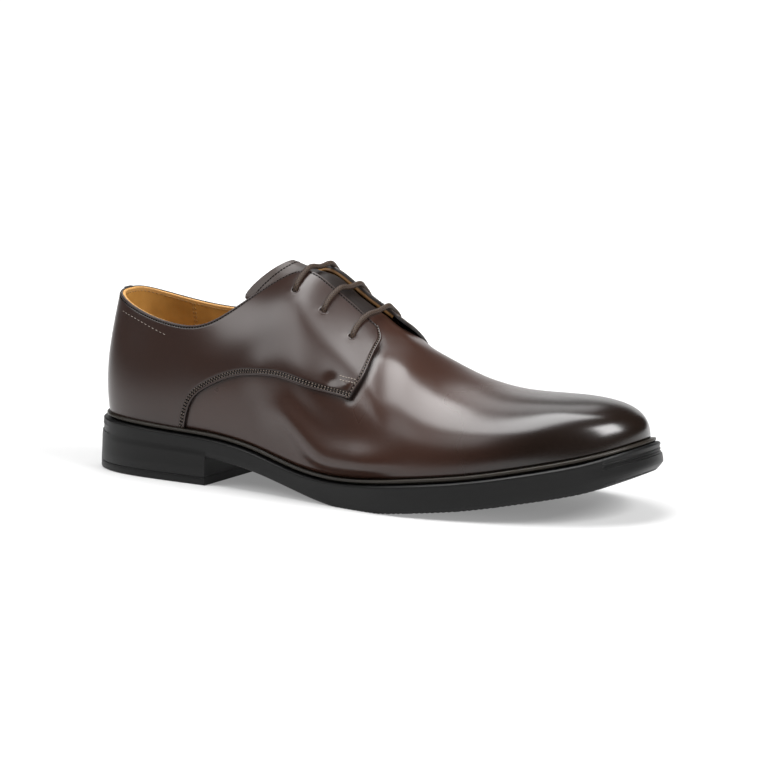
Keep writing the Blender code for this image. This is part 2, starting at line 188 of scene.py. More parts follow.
# Side of the sole unit: share of the thickness below the top edge, set back,
# then what the ridged band at the heel, the ridged band at the toe and the toe's own roundness add to it
SIDE_STEPS = np.array((
    (0.00, 7.0, 0.0, 0.0, 0.0),
    (0.00, 1.0, 0.8, 0.4, -0.2),
    (0.02, 0.5, 0.6, 0.3, -0.2),
    (0.05, 0.1, 0.6, 0.3, -0.3),
    (0.09, 0.0, 0.7, 0.4, -0.4),
    (0.11, 0.0, 1.1, 0.8, -0.4),
    (0.14, 0.0, 1.1, 0.8, -0.5),
    (0.16, 0.0, 0.7, 0.5, -0.5),
    (0.20, 0.0, 0.6, 0.5, -0.6),
    (0.22, 0.0, 1.0, 0.8, -0.6),
    (0.25, 0.0, 1.0, 0.8, -0.7),
    (0.27, 0.0, 0.6, 0.5, -0.8),
    (0.31, 0.0, 0.5, 0.5, -0.9),
    (0.33, 0.0, 0.8, 0.0, -1.0),
    (0.42, 0.0, 0.8, 0.0, -1.2),
    (0.52, 0.0, 0.7, 0.0, -1.5),
    (0.62, 0.0, 0.7, 0.0, -1.6),
    (0.64, 0.0, 0.0, 0.0, -1.5),
    (0.72, 0.0, 0.0, 0.0, -0.7),
    (0.84, 0.1, 0.0, 0.0, 0.5),
    (0.855, 0.1, 0.0, 0.25, 0.7),
    (0.87, 0.1, 0.0, 0.25, 0.9),
    (0.885, 0.15, 0.0, 0.0, 1.0),
    (0.94, 0.3, 0.0, 0.0, 1.7),
    (0.98, 0.6, 0.0, 0.0, 2.5),
    (1.00, 1.1, 0.0, 0.0, 3.0)))

# Eyelets and their lace bars: share, height up the wall
EYELETS = (
    (0.447, 0.853),
    (0.515, 0.825),
    (0.578, 0.786))

# Line of pale stitches below the collar at the heel: share, height up the wall
HEEL_LINE = np.array((
    (0.068, 0.895),
    (0.108, 0.903),
    (0.135, 0.897),
    (0.159, 0.885),
    (0.180, 0.872)))


def ease(amount):
    """Soft step from 0 to 1."""
    amount = np.clip(amount, 0, 1)
    return amount * amount * (3 - 2 * amount)


def hump(distance, width):
    """Soft hump that is 1 in its middle."""
    return np.exp(-(distance / width) ** 2)


def rounded(edge, radius):
    """Rise of a rounded edge, from 0 at the edge to 1 at a distance of its radius."""
    return np.sqrt(1 - (1 - np.clip(edge / radius, 0, 1)) ** 2)


def turn(share):
    """Angle round the sole of a share of the length; it opens up the rounded ends."""
    return np.arccos(np.clip(1 - 2 * np.asarray(share, float), -1, 1))


def share_at(ring):
    return (1 - np.cos(ring)) / 2


def mirrored(ring, inner_side):
    """Angle round the sole of the same place on the inner side, where that is asked for."""
    return 2 * np.pi - ring if inner_side else ring


def spline(knots, values, at):
    """Smooth curve through the knots."""
    steps = np.diff(knots)
    count = len(knots)
    system = np.eye(count)
    right = np.zeros(count)
    for i in range(1, count - 1):
        system[i, i - 1:i + 2] = steps[i - 1], 2 * (steps[i - 1] + steps[i]), steps[i]
        right[i] = 6 * ((values[i + 1] - values[i]) / steps[i] - (values[i] - values[i - 1]) / steps[i - 1])
    bend = np.linalg.solve(system, right)
    i = np.clip(np.searchsorted(knots, at) - 1, 0, count - 2)
    after, before, step = at - knots[i], knots[i + 1] - at, steps[i]
    curve = (bend[i] * before ** 3 + bend[i + 1] * after ** 3) / (6 * step)
    curve += (values[i] / step - bend[i] * step / 6) * before
    curve += (values[i + 1] / step - bend[i + 1] * step / 6) * after
    return curve


def spline_columns(knots, table, at):
    """Smooth curves through all columns of a table."""
    return np.stack([spline(knots, table[:, column], at) for column in range(table.shape[1])], -1)


def read(table, column, ring, odd=False):
    """A table's column at an angle round the sole: 0 heel, outer side to pi at the toe, back inside."""
    knots = turn(table[:, 0])
    values = table[:, column]
    sign = -1 if odd else 1
    knots = np.concatenate((-knots[:0:-1], knots, 2 * np.pi - knots[-2::-1]))
    values = np.concatenate((sign * values[:0:-1], values, sign * values[-2::-1]))
    return spline(knots, values, np.mod(ring + 1.0, 2 * np.pi) - 1.0)


def sole_edge(ring):
    half = read(OUTLINE, 2, ring, odd=True)
    return np.stack((LENGTH / 2 * (1 - np.cos(ring)), read(OUTLINE, 1, ring) - half), -1)


def outward(ring):
    along = sole_edge(ring + 0.001) - sole_edge(ring - 0.001)
    along /= np.linalg.norm(along, axis=-1, keepdims=True)
    return np.stack((along[..., 1], -along[..., 0]), -1)


def foot_level(ring):
    return read(LEVELS, 1, ring)


def sole_bottom(ring):
    """Underside of the arch and forefoot, with a flat spot to stand on."""
    return np.maximum(read(LEVELS, 2, ring), 0.0)


def with_height(flat, height):
    height = np.broadcast_to(height, flat.shape[:-1])
    return np.concatenate((flat, height[..., None]), -1)


def ring_at(ring, set_back, height):
    flat = sole_edge(ring) - np.broadcast_to(set_back, ring.shape)[..., None] * outward(ring)
    return with_height(flat, height)


def last(ring, up):
    """Outer face of the upper: ring is the angle round the sole, up goes from its foot to its top line."""
    ring, up = np.broadcast_arrays(np.asarray(ring, float), np.asarray(up, float))
    share = share_at(ring)
    out = outward(ring)
    foot = sole_edge(ring) - read(LEDGE, 1, ring)[..., None] * out
    low = foot_level(ring) + GAP
    half = ease((THROAT_END - share) / THROAT_CLOSE) * read(TOPLINE, 2, ring, odd=True)
    top = np.stack((read(TOPLINE, 1, ring), read(RIDGE, 1, ring) - half), -1)
    extra = ease((THROAT_END - share) / INNER_CLOSE) * read(TOPLINE, 4, ring, odd=True)
    high = read(TOPLINE, 3, ring) - extra
    run = read(TOPLINE, 1, ring + TURN_STEP) - read(TOPLINE, 1, ring - TURN_STEP)
    rise = read(TOPLINE, 3, ring + TURN_STEP) - read(TOPLINE, 3, ring - TURN_STEP)
    run = np.where(np.abs(run) < 0.001, 0.001, run)
    slope = np.where(share > SLOPE_END, 0.0, rise / run)
    slope = slope * ease((share - SLOPE_START) / SLOPE_EASE) * ease((SLOPE_END - share) / SLOPE_FADE)
    angle = np.radians(np.maximum(read(TOPLINE, 5, ring), 0.0))
    lower, lean, upper = (read(WALL, column, ring) for column in (1, 2, 3))
    tall = high - low
    reach = np.linalg.norm(foot - top, axis=-1)
    handle = upper * (reach * np.cos(angle) + tall * np.sin(angle))
    sideways = (handle * np.cos(angle))[..., None] * out
    corners = (
        with_height(foot, low),
        with_height(foot + lean[..., None] * out, low + lower * tall),
        with_height(top + sideways, high + slope * sideways[..., 0] - handle * np.sin(angle)),
        with_height(top, high))
    u = up[..., None]
    weights = ((1 - u) ** 3, 3 * u * (1 - u) ** 2, 3 * u * u * (1 - u), u ** 3)
    return sum(weight * corner for weight, corner in zip(weights, corners))


def unit(vectors):
    return vectors / np.maximum(np.linalg.norm(vectors, axis=-1, keepdims=True), TINY)


def skin_normal(ring, up):
    ring, up = np.broadcast_arrays(np.asarray(ring, float), np.asarray(up, float))
    step = 0.002
    across = last(ring + step, up) - last(ring - step, up)
    rising = last(ring, np.minimum(up + step, 1)) - last(ring, np.maximum(up - step, 0))
    return unit(np.cross(across, rising))


def skin(ring, up, out):
    """The upper's face moved out along its own normal."""
    ring, up, out = np.broadcast_arrays(
        np.asarray(ring, float), np.asarray(up, float), np.asarray(out, float))
    return last(ring, up) + out[..., None] * skin_normal(ring, up)


def arc_lengths(path):
    return np.concatenate(([0.0], np.cumsum(np.linalg.norm(np.diff(path, axis=0), axis=1))))


def points_at(path, lengths, at):
    """Points of a path at distances along it."""
    return np.stack([np.interp(at, lengths, path[:, axis]) for axis in range(path.shape[1])], -1)


def even_points(path, count):
    """The same path with evenly spaced points."""
    lengths = arc_lengths(path)
    return points_at(path, lengths, np.linspace(0, lengths[-1], count))


# Meshes: grids of points that are stored column by column

WELD_DISTANCE = 0.002
POINTS_AT_ONCE = 4000


def grid_faces(columns, rows, around=False, flip=False):
    i, j = np.meshgrid(np.arange(columns if around else columns - 1), np.arange(rows - 1), indexing="ij")
    k = (i + 1) % columns
    faces = np.stack((i * rows + j, k * rows + j, k * rows + j + 1, i * rows + j + 1), -1).reshape(-1, 4)
    return faces[:, ::-1] if flip else faces


def join_grids(grids):
    """One list of points and one of faces from several (grid, around, flip)."""
    points = []
    faces = []
    start = 0
    for grid, around, flip in grids:
        columns, rows = grid.shape[:2]
        points.append(grid.reshape(-1, 3))
        faces.append(start + grid_faces(columns, rows, around, flip))
        start += columns * rows
    return np.concatenate(points), np.concatenate(faces)


def add_piece(name, points, faces, material, sharp=None, welded=True):
    """A smooth mesh piece from points in the shoe's millimetres; sharp is an angle for crisp edges."""
    mesh = bpy.data.meshes.new(name)
    mesh.from_pydata(((np.asarray(points) - MIDDLE) * MM).tolist(), [], np.asarray(faces).tolist())
    if welded:
        work = bmesh.new()
        work.from_mesh(mesh)
        bmesh.ops.remove_doubles(work, verts=work.verts, dist=WELD_DISTANCE * MM)
        work.to_mesh(mesh)
        work.free()
    mesh.materials.append(material)
    mesh.shade_smooth()
    if sharp is not None:
        mesh.set_sharp_from_angle(angle=math.radians(sharp))
    piece = bpy.data.objects.new(name, mesh)
    bpy.context.scene.collection.objects.link(piece)
    return piece


def bake_modifiers(piece):
    """Turns the piece's modifiers into a plain mesh."""
    made = piece.evaluated_get(bpy.context.evaluated_depsgraph_get())
    mesh = bpy.data.meshes.new_from_object(made)
    piece.modifiers.clear()
    piece.data = mesh
    return piece


def shoe_points(piece):
    """The piece's points in the shoe's millimetres."""
    flat = np.zeros(3 * len(piece.data.vertices))
    piece.data.vertices.foreach_get("co", flat)
    return flat.reshape(-1, 3) / MM + MIDDLE


def paint(piece, name, values):
    """Stores one number for each point, for the materials to read."""
    layer = piece.data.attributes.new(name, "FLOAT", "POINT")
    layer.data.foreach_set("value", np.asarray(values, np.float32))


def gap_to_path(points, path):
    """Distance of each point to a path of straight steps."""
    nearest = np.zeros(len(points), int)
    for start in range(0, len(points), POINTS_AT_ONCE):
        some = slice(start, start + POINTS_AT_ONCE)
        nearest[some] = np.argmin(np.sum((points[some, None] - path[None]) ** 2, axis=-1), axis=1)
    best = np.linalg.norm(points - path[nearest], axis=-1)
    for shift in (-1, 0):
        first = np.clip(nearest + shift, 0, len(path) - 2)
        along = path[first + 1] - path[first]
        squared = np.maximum(np.sum(along ** 2, axis=-1), TINY)
        share = np.sum((points - path[first]) * along, axis=-1) / squared
        foot = path[first] + np.clip(share, 0, 1)[:, None] * along
        best = np.minimum(best, np.linalg.norm(points - foot, axis=-1))
    return best


# Nodes and colours

def linear(hex_colour):
    """An sRGB hex colour as linear red, green, blue and alpha."""
    parts = [int(hex_colour[i:i + 2], 16) / 255 for i in (1, 3, 5)]
    return [p / 12.92 if p <= 0.04045 else ((p + 0.055) / 1.055) ** 2.4 for p in parts] + [1.0]


def put(tree, kind, sockets=None, **settings):
    """Adds a node with its settings; a socket gets a value, or a link where it is given an output."""
    node = tree.nodes.new(kind)
    for name, value in settings.items():
        setattr(node, name, value)
    for name, value in (sockets or {}).items():
        if isinstance(value, bpy.types.NodeSocket):
            tree.links.new(value, node.inputs[name])
        else:
            node.inputs[name].default_value = value
    return node


def new_material(name, **sockets):
    material = bpy.data.materials.new(name)
    material.use_nodes = True
    shader = material.node_tree.nodes["Principled BSDF"]
    for socket, value in sockets.items():
        shader.inputs[socket.replace("_", " ").title().replace("Ior", "IOR")].default_value = value
    return material, material.node_tree, shader


def per_mm(size):
    """Texture scale that gives features of a size in millimetres on Object coordinates."""
    return 1 / (size * MM)


def mix(tree, amount, first, second):
    """A colour between two others."""
    return put(tree, "ShaderNodeMix", {0: amount, 6: first, 7: second}, data_type="RGBA").outputs[2]


def calculate(tree, operation, *values):
    """A number worked out from others."""
    return put(tree, "ShaderNodeMath", dict(enumerate(values)), operation=operation).outputs[0]


def stretch(tree, value, low, high, start=0.0, end=1.0, interpolation="LINEAR"):
    """A number moved from the range start to end into the range low to high."""
    return put(tree, "ShaderNodeMapRange", {0: value, 1: start, 2: end, 3: low, 4: high},
               interpolation_type=interpolation).outputs[0]


def noise(tree, place, size, detail):
    """Soft noise with features of a size in millimetres."""
    return put(tree, "ShaderNodeTexNoise", {
        "Vector": place, "Scale": per_mm(size), "Detail": detail}).outputs[0]


def object_place(tree):
    return put(tree, "ShaderNodeTexCoord").outputs["Object"]


def painted(tree, name):
    """A number that was stored on the piece's points."""
    return put(tree, "ShaderNodeAttribute", attribute_name=name).outputs["Fac"]


def dress(tree, shader, colour, relief, strength, gloss=None, depth=0.1):
    """Gives a shader its colour, its fine relief, depth in millimetres, and a roughness that varies."""
    bump = put(tree, "ShaderNodeBump", {"Height": relief, "Strength": strength, "Distance": depth * MM})
    tree.links.new(colour, shader.inputs["Base Color"])
    tree.links.new(bump.outputs[0], shader.inputs["Normal"])
    if gloss is not None:
        tree.links.new(gloss, shader.inputs["Roughness"])


# Burnished toe: where it begins and is full, in metres in front of the shoe's middle, and how dark it gets
BURNISH_START = 0.050
BURNISH_FULL = 0.115
BURNISH_DEPTH = 0.93
BURNISHED_BROWN = "#120c08"
# Dark brown of painted cut edges, also used as painted shade beside the panels, in the stitch channels and
# down in the throat
CUT_EDGE_AND_SHADE_BROWN = "#140d0a"
# Painted highlight on the lining's rolled rim at the collar
LINING_RIM_HIGHLIGHT = "#b58a54"
# Painted shade of the lining inside the facings, down in the throat
LINING_FACING_SHADE = "#4a3010"
THREAD_SHADOW = "#1a1310"
HOLE_BLACK = "#0d0907"
# Lace colours: painted shade between the strands, and the strands' crests
LACE_GROOVE_SHADE = "#1a130f"
LACE_CREST = "#43352b"
STRAND_LENGTH = 1.5
STRAND_LEAN = 5.0


def calf_leather(name, brown, dark, roughness, burnished=True, shine=0.5):
    """Full-grain calf, dyed through, waxed and brushed: dark brown, with a satin shine over fine pores.

    The toe is burnished: rubbed nearly black with a closer polish. Painted cut edges are darker and dull;
    the same mask also paints shade on the vamp beside the panels, in the stitch channels and on the tongue
    in the throat.
    Real pores are finer and are drawn coarser, at 0.45 mm, so that they show.
    """
    material, tree, shader = new_material(name, coat_weight=0.15, coat_roughness=0.25, ior=1.5,
                                          specular_ior_level=shine)
    place = object_place(tree)
    cloud = noise(tree, place, 26, 1)
    colour = mix(tree, stretch(tree, cloud, 0.0, 0.6), linear(brown), linear(dark))
    gloss = stretch(tree, cloud, roughness - 0.03, roughness + 0.04)
    if burnished:
        along = put(tree, "ShaderNodeSeparateXYZ", {0: place}).outputs["X"]
        toe = stretch(tree, along, 0.0, BURNISH_DEPTH, BURNISH_START, BURNISH_FULL, "SMOOTHSTEP")
        colour = mix(tree, toe, colour, linear(BURNISHED_BROWN))
        gloss = calculate(tree, "MULTIPLY_ADD", toe, -0.05, gloss)
    # The edge mask: painted cut edges, and painted shade where the pieces store it
    edge = painted(tree, "edge")
    colour = mix(tree, edge, colour, linear(CUT_EDGE_AND_SHADE_BROWN))
    gloss = calculate(tree, "MULTIPLY_ADD", edge, 0.2, gloss)
    dress(tree, shader, colour, noise(tree, place, 0.45, 1), 0.12, gloss)
    return material


def lining_leather(name, tan, shade):
    """Vegetable-tanned lining leather, undyed: warm tan, matt, with soft blotches and open pores.

    Its pores are drawn coarser than real ones, at 0.7 mm.
    """
    material, tree, shader = new_material(name, roughness=0.55, ior=1.45)
    place = object_place(tree)
    tone = stretch(tree, noise(tree, place, 16, 5), 0.0, 1.0, 0.35, 0.68)
    colour = mix(tree, tone, linear(tan), linear(shade))
    # Painted highlight on the rolled rim, stored in the edge mask
    colour = mix(tree, painted(tree, "edge"), colour, linear(LINING_RIM_HIGHLIGHT))
    # Painted shade: the lining inside the facings is drawn darker
    colour = mix(tree, painted(tree, "wear_and_shade"), colour, linear(LINING_FACING_SHADE))
    dress(tree, shader, colour, noise(tree, place, 0.7, 2), 0.25)
    return material


def moulded_rubber(name, black, wear_and_shade, roughness):
    """Injection-moulded rubber, fine spark-eroded mould texture: near black with a low, even sheen."""
    material, tree, shader = new_material(name, ior=1.5, specular_ior_level=0.26)
    place = object_place(tree)
    cloud = noise(tree, place, 30, 4)
    colour = mix(tree, cloud, linear(black), linear(wear_and_shade))
    gloss = stretch(tree, cloud, roughness - 0.04, roughness + 0.05, 0.3, 0.7)
    dress(tree, shader, colour, noise(tree, place, 0.5, 1), 0.12, gloss)
    return material


def sewing_thread(name, shade):
    """Bonded polyester thread, twisted: dull shine with fine turns along each stitch."""
    material, tree, shader = new_material(name, roughness=0.5, ior=1.5)
    twist = noise(tree, object_place(tree), 0.4, 2)
    dress(tree, shader, mix(tree, twist, linear(shade), linear(THREAD_SHADOW)), twist, 0.3)
    return material


def needle_holes(name):
    """Shadow in the holes that the needle leaves between stitches: near black, without shine."""
    material, _, shader = new_material(name, roughness=0.9, specular_ior_level=0.0)
    shader.inputs["Base Color"].default_value = linear(HOLE_BLACK)
    return material


def waxed_lace(name):
    """Round braided cotton lace, waxed: strands cross at a slant, with a soft shine on their crests, and
    painted shade darkens the grooves between them.

    Its map runs along the lace in millimetres and round it in turns; strands are 1.5 mm long.
    """
    material, tree, shader = new_material(name, roughness=0.5, ior=1.5, specular_ior_level=0.22)
    where = put(tree, "ShaderNodeUVMap", uv_map="lace").outputs[0]
    strands = []
    for lean in (STRAND_LEAN, -STRAND_LEAN):
        slant = put(tree, "ShaderNodeVectorMath", {0: where, 1: (1 / STRAND_LENGTH, lean, 0.0)},
                    operation="DOT_PRODUCT").outputs["Value"]
        strands.append(calculate(tree, "SINE", calculate(tree, "MULTIPLY", slant, 2 * math.pi)))
    crest = calculate(tree, "MAXIMUM", *strands)
    # Painted shade in the grooves between the strands, lighter on their crests
    colour = mix(tree, stretch(tree, crest, 0.0, 1.0, -0.6, 1.0), linear(LACE_GROOVE_SHADE), linear(LACE_CREST))
    dress(tree, shader, colour, crest, 0.5, depth=0.15)
    return material


# Vamp and tongue: the vamp dives under the facings and runs on as the tongue.
# Places are shares of the length or of the wall's height, depths and distances are millimetres

VAMP_BACK = 0.570
VAMP_LOW_BACK = 0.17
UP_ROWS = np.linspace(0, 1, 65)
LOW_ROWS = 42
BRIDGE_STEPS = 9
THROAT_DIVE = 2.4
DIVE_SHARE = (0.66, 0.05)
DIVE_UP = (0.70, 0.22)
TUCK_IN = 1.0
TUCK_UP = 0.05
THROAT_SOFT = 24.0
THROAT_FADE = 0.6
SMOOTH_FACTOR = 0.5
SMOOTH_ROUNDS = 120
BULGE_HEIGHT = 4.0
BULGE_FROM = 0.36
BULGE_TURN = 0.53
BULGE_TO = 0.68
BULGE_FADE = 0.10
BULGE_UP = 0.07
BULGE_RISE = 0.13
BULGE_SPREAD = 0.10
SWELL_HEIGHT = 2.0
SWELL_FROM = 0.33
SWELL_TO = 0.54
SWELL_FADE = 0.07
SWELL_UP = 0.40
SWELL_SPREAD = 0.13

# The vamp along a panel's edge: how far it is drawn in and how dark it is painted as shade, each with its
# width
FRONT_SINK = (0.9, 1.8)
FRONT_SHADE = (0.97, 2.2)
SEAM_SHADE = (0.6, 0.8)


def ball_bulge(share, up):
    """Soft swelling just above the welt, where the leather is drawn over the ball of the foot."""
    along = ease((share - BULGE_FROM) / BULGE_FADE) * ease((BULGE_TO - share) / BULGE_FADE)
    crest = BULGE_UP + BULGE_RISE * ease((BULGE_TURN - share) / BULGE_FADE)
    return BULGE_HEIGHT * along * ease(up / BULGE_UP) * hump(up - crest, BULGE_SPREAD)


def side_swell(ring, up):
    """Soft ridge along the panel's lower seam, below the instep."""
    share = share_at(ring)
    along = ease((share - SWELL_FROM) / SWELL_FADE) * ease((SWELL_TO - share) / SWELL_FADE)
    return SWELL_HEIGHT * along * hump(up - SWELL_UP, SWELL_SPREAD)


def vamp_face(ring, up, out=0.0):
    share = share_at(ring)
    along = ease((DIVE_SHARE[0] - share) / DIVE_SHARE[1])
    dive = THROAT_DIVE * along * ease((up - DIVE_UP[0]) / DIVE_UP[1])
    return skin(ring, up, out - dive + ball_bulge(share, up) + side_swell(ring, up))


def bridge(outer, inner, steps):
    """Lines across the throat that go on in the direction of the two walls."""
    left, right = outer[:, -1], inner[:, -1]
    span = np.linalg.norm(right - left, axis=-1)[:, None, None]
    left_pull = span * unit(outer[:, -1] - outer[:, -2])[:, None]
    right_pull = span * unit(inner[:, -1] - inner[:, -2])[:, None]
    t = np.linspace(0, 1, steps)[None, :, None]
    line = (2 * t ** 3 - 3 * t ** 2 + 1) * left[:, None] + (3 * t ** 2 - 2 * t ** 3) * right[:, None]
    return line + (t ** 3 - 2 * t ** 2 + t) * left_pull + (t ** 2 - t ** 3) * right_pull


def vamp_grids(columns, row_step, out, flip):
    """Wall round the toe, the bridge over the throat and the lower walls behind it."""
    start = turn(VAMP_BACK)
    ring = np.linspace(start, 2 * np.pi - start, columns)
    rows = UP_ROWS[::row_step]
    wall = vamp_face(ring[:, None], rows[None, :], out)
    open_columns = int(np.argmax(share_at(ring) >= THROAT_END)) + 1
    top = bridge(wall[:open_columns], wall[::-1][:open_columns], BRIDGE_STEPS)
    low_ring = np.linspace(turn(VAMP_LOW_BACK), start, columns // 3)
    low = UP_ROWS[:LOW_ROWS + 1:row_step]
    outer = vamp_face(low_ring[:, None], low[None, :], out)
    inner_ring = 2 * np.pi - low_ring[::-1]
    inner = vamp_face(inner_ring[:, None], low[None, :], out)
    grids = [(wall, False, flip), (top, False, flip), (outer, False, flip), (inner, False, flip)]
    if out == 0.0:
        for line in (ring, low_ring, inner_ring):
            tuck = ring_at(line, read(LEDGE, 1, line) + TUCK_IN, foot_level(line) + TUCK_UP)
            grids.append((np.stack((tuck, last(line, 0.0)), 1), False, flip))
    return grids


def soften_throat(piece):
    """Smooths the pinch where the two walls meet in front of the throat."""
    away = np.linalg.norm(shoe_points(piece) - last(turn(THROAT_END), 1.0), axis=-1)
    weight = ease((THROAT_SOFT - away) / (THROAT_FADE * THROAT_SOFT))
    group = piece.vertex_groups.new(name="throat")
    for index in np.nonzero(weight > 0.01)[0]:
        group.add([int(index)], float(weight[index]), "REPLACE")
    smooth = piece.modifiers.new("soft throat", "SMOOTH")
    smooth.factor = SMOOTH_FACTOR
    smooth.iterations = SMOOTH_ROUNDS
    smooth.vertex_group = group.name
    bake_modifiers(piece)


def add_vamp(material):
    piece = add_piece("vamp", *join_grids(vamp_grids(261, 1, 0.0, False)), material)
    soften_throat(piece)
    points = shoe_points(piece)
    normals = np.zeros(points.size)
    piece.data.vertices.foreach_get("normal", normals)
    shade = np.zeros(len(points))
    sink = np.zeros(len(points))
    for inner_side in (False, True):
        front = gap_to_path(points, last(mirrored(PANEL_RING[-1], inner_side), PANEL_UP[-1]))
        seam_ring, seam_up = seam_line(inner_side)
        seam = gap_to_path(points, skin(seam_ring, seam_up, side_swell(seam_ring, seam_up)))
        sink = np.maximum(sink, FRONT_SINK[0] * hump(front, FRONT_SINK[1]))
        shade = np.maximum(shade, FRONT_SHADE[0] * hump(front, FRONT_SHADE[1]))
        shade = np.maximum(shade, SEAM_SHADE[0] * hump(seam, SEAM_SHADE[1]))
    points -= sink[:, None] * normals.reshape(-1, 3)
    piece.data.vertices.foreach_set("co", ((points - MIDDLE) * MM).ravel())
    piece.data.update()
    # Painted shade on the vamp beside the panels' front edges and along their seams, stored in the edge mask
    paint(piece, "edge", shade)
    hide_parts("upper")
    return piece, "upper"


def add_vamp_lining(material):
    piece = add_piece("vamp_lining", *join_grids(vamp_grids(141, 2, -1.4, True)), material)
    soften_throat(piece)
    return piece, "insole"


TONGUE_ACROSS = 49
TONGUE_ALONG = 80
TONGUE_LINE = -5
TONGUE_THICK = 2.0

# Lines across the tongue under the facings: share, lowest place on the wall, how far out
TONGUE_ROWS = (
    (0.62, 0.86, -1.5),
    (0.595, 0.83, -0.6),
    (0.57, 0.80, -0.03),
    (0.545, 0.80, 0.0),
    (0.52, 0.81, 0.0),
    (0.47, 0.83, 0.0))

# Free end of the tongue: its middle, half width, how far its sides fall back and down, its rounded corners
# and how much the sides sag on the way there
TONGUE_END = (108, -1.2, 110)
TONGUE_HALF = 17
TONGUE_SWEEP = 19
TONGUE_FALL = (12, 6.5)
TONGUE_CORNER = (0.84, 0.16, 2.6)
TONGUE_SAG = 6.4

# Painted shade on the tongue down in the throat: how dark, from where along the shoe and over what length
TONGUE_SHADE = (0.9, 112, 8)


def tongue_section(share, low_up, out):
    up = np.linspace(low_up, 1.0, 20)
    outer = vamp_face(turn(share), up, out)
    inner = vamp_face(2 * np.pi - turn(share), up, out)
    middle = bridge(outer[None], inner[None], 15)[0]
    return even_points(np.concatenate((outer[:-1], middle, inner[::-1][1:])), TONGUE_ACROSS)


def tongue_grid():
    """Lines across the tongue, from under the vamp to its free end behind the facings."""
    rows = []
    for share, low_up, out in TONGUE_ROWS:
        rows.append(tongue_section(share, low_up, out))
    side = np.linspace(-1, 1, TONGUE_ACROSS)
    base = rows[-1]
    end = np.stack((
        TONGUE_END[0] - TONGUE_SWEEP * side ** 2,
        TONGUE_HALF * side + TONGUE_END[1],
        TONGUE_END[2] - TONGUE_FALL[0] * side ** 2 - TONGUE_FALL[1] * side ** 4), -1)
    start, width, radius = TONGUE_CORNER
    corner = np.clip((np.abs(side) - start) / width, 0, 1)
    end += (radius * (1 - np.sqrt(1 - corner ** 2)))[:, None] * unit(base - end)
    for step in (0.25, 0.5, 0.75, 1.0):
        row = base + step * (end - base)
        row[:, 2] -= TONGUE_SAG * step * (1 - step) * np.abs(side)
        rows.append(row)
    rows = np.array(rows)
    knots = arc_lengths(rows[:, TONGUE_ACROSS // 2])
    at = np.linspace(0, knots[-1], TONGUE_ALONG)
    return spline_columns(knots, rows.reshape(len(rows), -1), at).reshape(TONGUE_ALONG, TONGUE_ACROSS, 3)


def add_tongue(material):
    grid = tongue_grid()
    piece = add_piece("tongue_piece", *join_grids([(grid, False, True)]), material, welded=False)
    solid = piece.modifiers.new("thickness", "SOLIDIFY")
    solid.thickness = TONGUE_THICK * MM
    solid.offset = -1
    bevel = piece.modifiers.new("soft edge", "BEVEL")
    bevel.width = 0.55 * MM
    bevel.segments = 3
    bevel.limit_method = "ANGLE"
    bevel.angle_limit = math.radians(55)
    bake_modifiers(piece)
    # Painted shade on the tongue under the facings and vamp, stored in the edge mask
    amount, start, length = TONGUE_SHADE
    paint(piece, "edge", amount * ease((shoe_points(piece)[:, 0] - start) / length))
    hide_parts("tongue")
    return piece, "tongue"


# Side panels: cut from the upper's own form, with rounded cut edges and sewn channels.
# Rows and points near an edge are at distances in from it; behind a share of the length
# the panels turn in at the collar

SHEAR_START = 0.45
PANEL_BACK = 0.0016
EDGE_ROUND = 0.5
SEAM_ROWS = (1.45, 2.55)
EDGE_ROW = 1.3
PANEL_PITCH = 1.75
COLLAR_ROLL = 0.35
COLLAR_BACK = (0.48, 0.06)
ROLL_DEPTH = 3.0
WALL_HEIGHT = 60.0
NEAR_BACK = np.array((0, 0, 0.15, 0.4, 0.8))
NEAR_EDGE = np.array((
    0, 0, 0.1, 0.22, 0.38, 0.55, 0.8, 1.05, 1.25, 1.45,
    1.65, 1.85, 2.1, 2.35, 2.55, 2.75, 3.0, 3.5, 4.3))


def front_share(up):
    return spline(FRONT[:, 0], FRONT[:, 1], np.maximum(up, FRONT[0, 0]))


def seam_path():
    """The panel's lower edge: along the foot from the back, then up and forward along the seam."""
    steps = arc_lengths(SEAM * np.array((LENGTH, WALL_HEIGHT)))
    share, up = spline_columns(steps, SEAM, np.linspace(0, steps[-1], 260)).T
    up = np.maximum(up, 0)
    foot = np.linspace(PANEL_BACK, turn(SEAM[0, 0]), 200)[:-1]
    return np.concatenate((foot, turn(share))), np.concatenate((np.zeros(len(foot)), up))


def rows_between(length, spacing_count, low, high):
    """Distances along a line that crowd towards the ends that have an edge."""
    middle = np.linspace(low[-1], length - high[-1], spacing_count)[1:-1]
    return np.concatenate((low, middle, length - high[::-1]))


def panel_grid():
    """Ring and height of a side panel's points, fine along its edges."""
    path_ring, path_up = seam_path()
    lengths = arc_lengths(last(path_ring, path_up))
    at = rows_between(lengths[-1], 190, NEAR_BACK, NEAR_EDGE)
    foot = np.interp(at, lengths, path_ring)
    low = np.interp(at, lengths, path_up)
    start = turn(SHEAR_START)
    front_foot = path_ring[-1]
    rings = []
    ups = []
    for column_foot, column_low in zip(foot, low):
        shear = np.clip((column_foot - start) / (front_foot - start), 0, 1)
        up = np.linspace(column_low, 1, 80)
        ring = column_foot + shear * (turn(front_share(up)) - front_foot)
        rise = arc_lengths(last(ring, up))
        rows = rows_between(rise[-1], 46, NEAR_EDGE, NEAR_EDGE)
        rings.append(np.interp(rows, rise, ring))
        ups.append(np.interp(rows, rise, up))
    return np.array(rings), np.array(ups)


def groove(distance, places, depth=0.35, width=0.34):
    return sum(depth * hump(distance - place, width) for place in places)


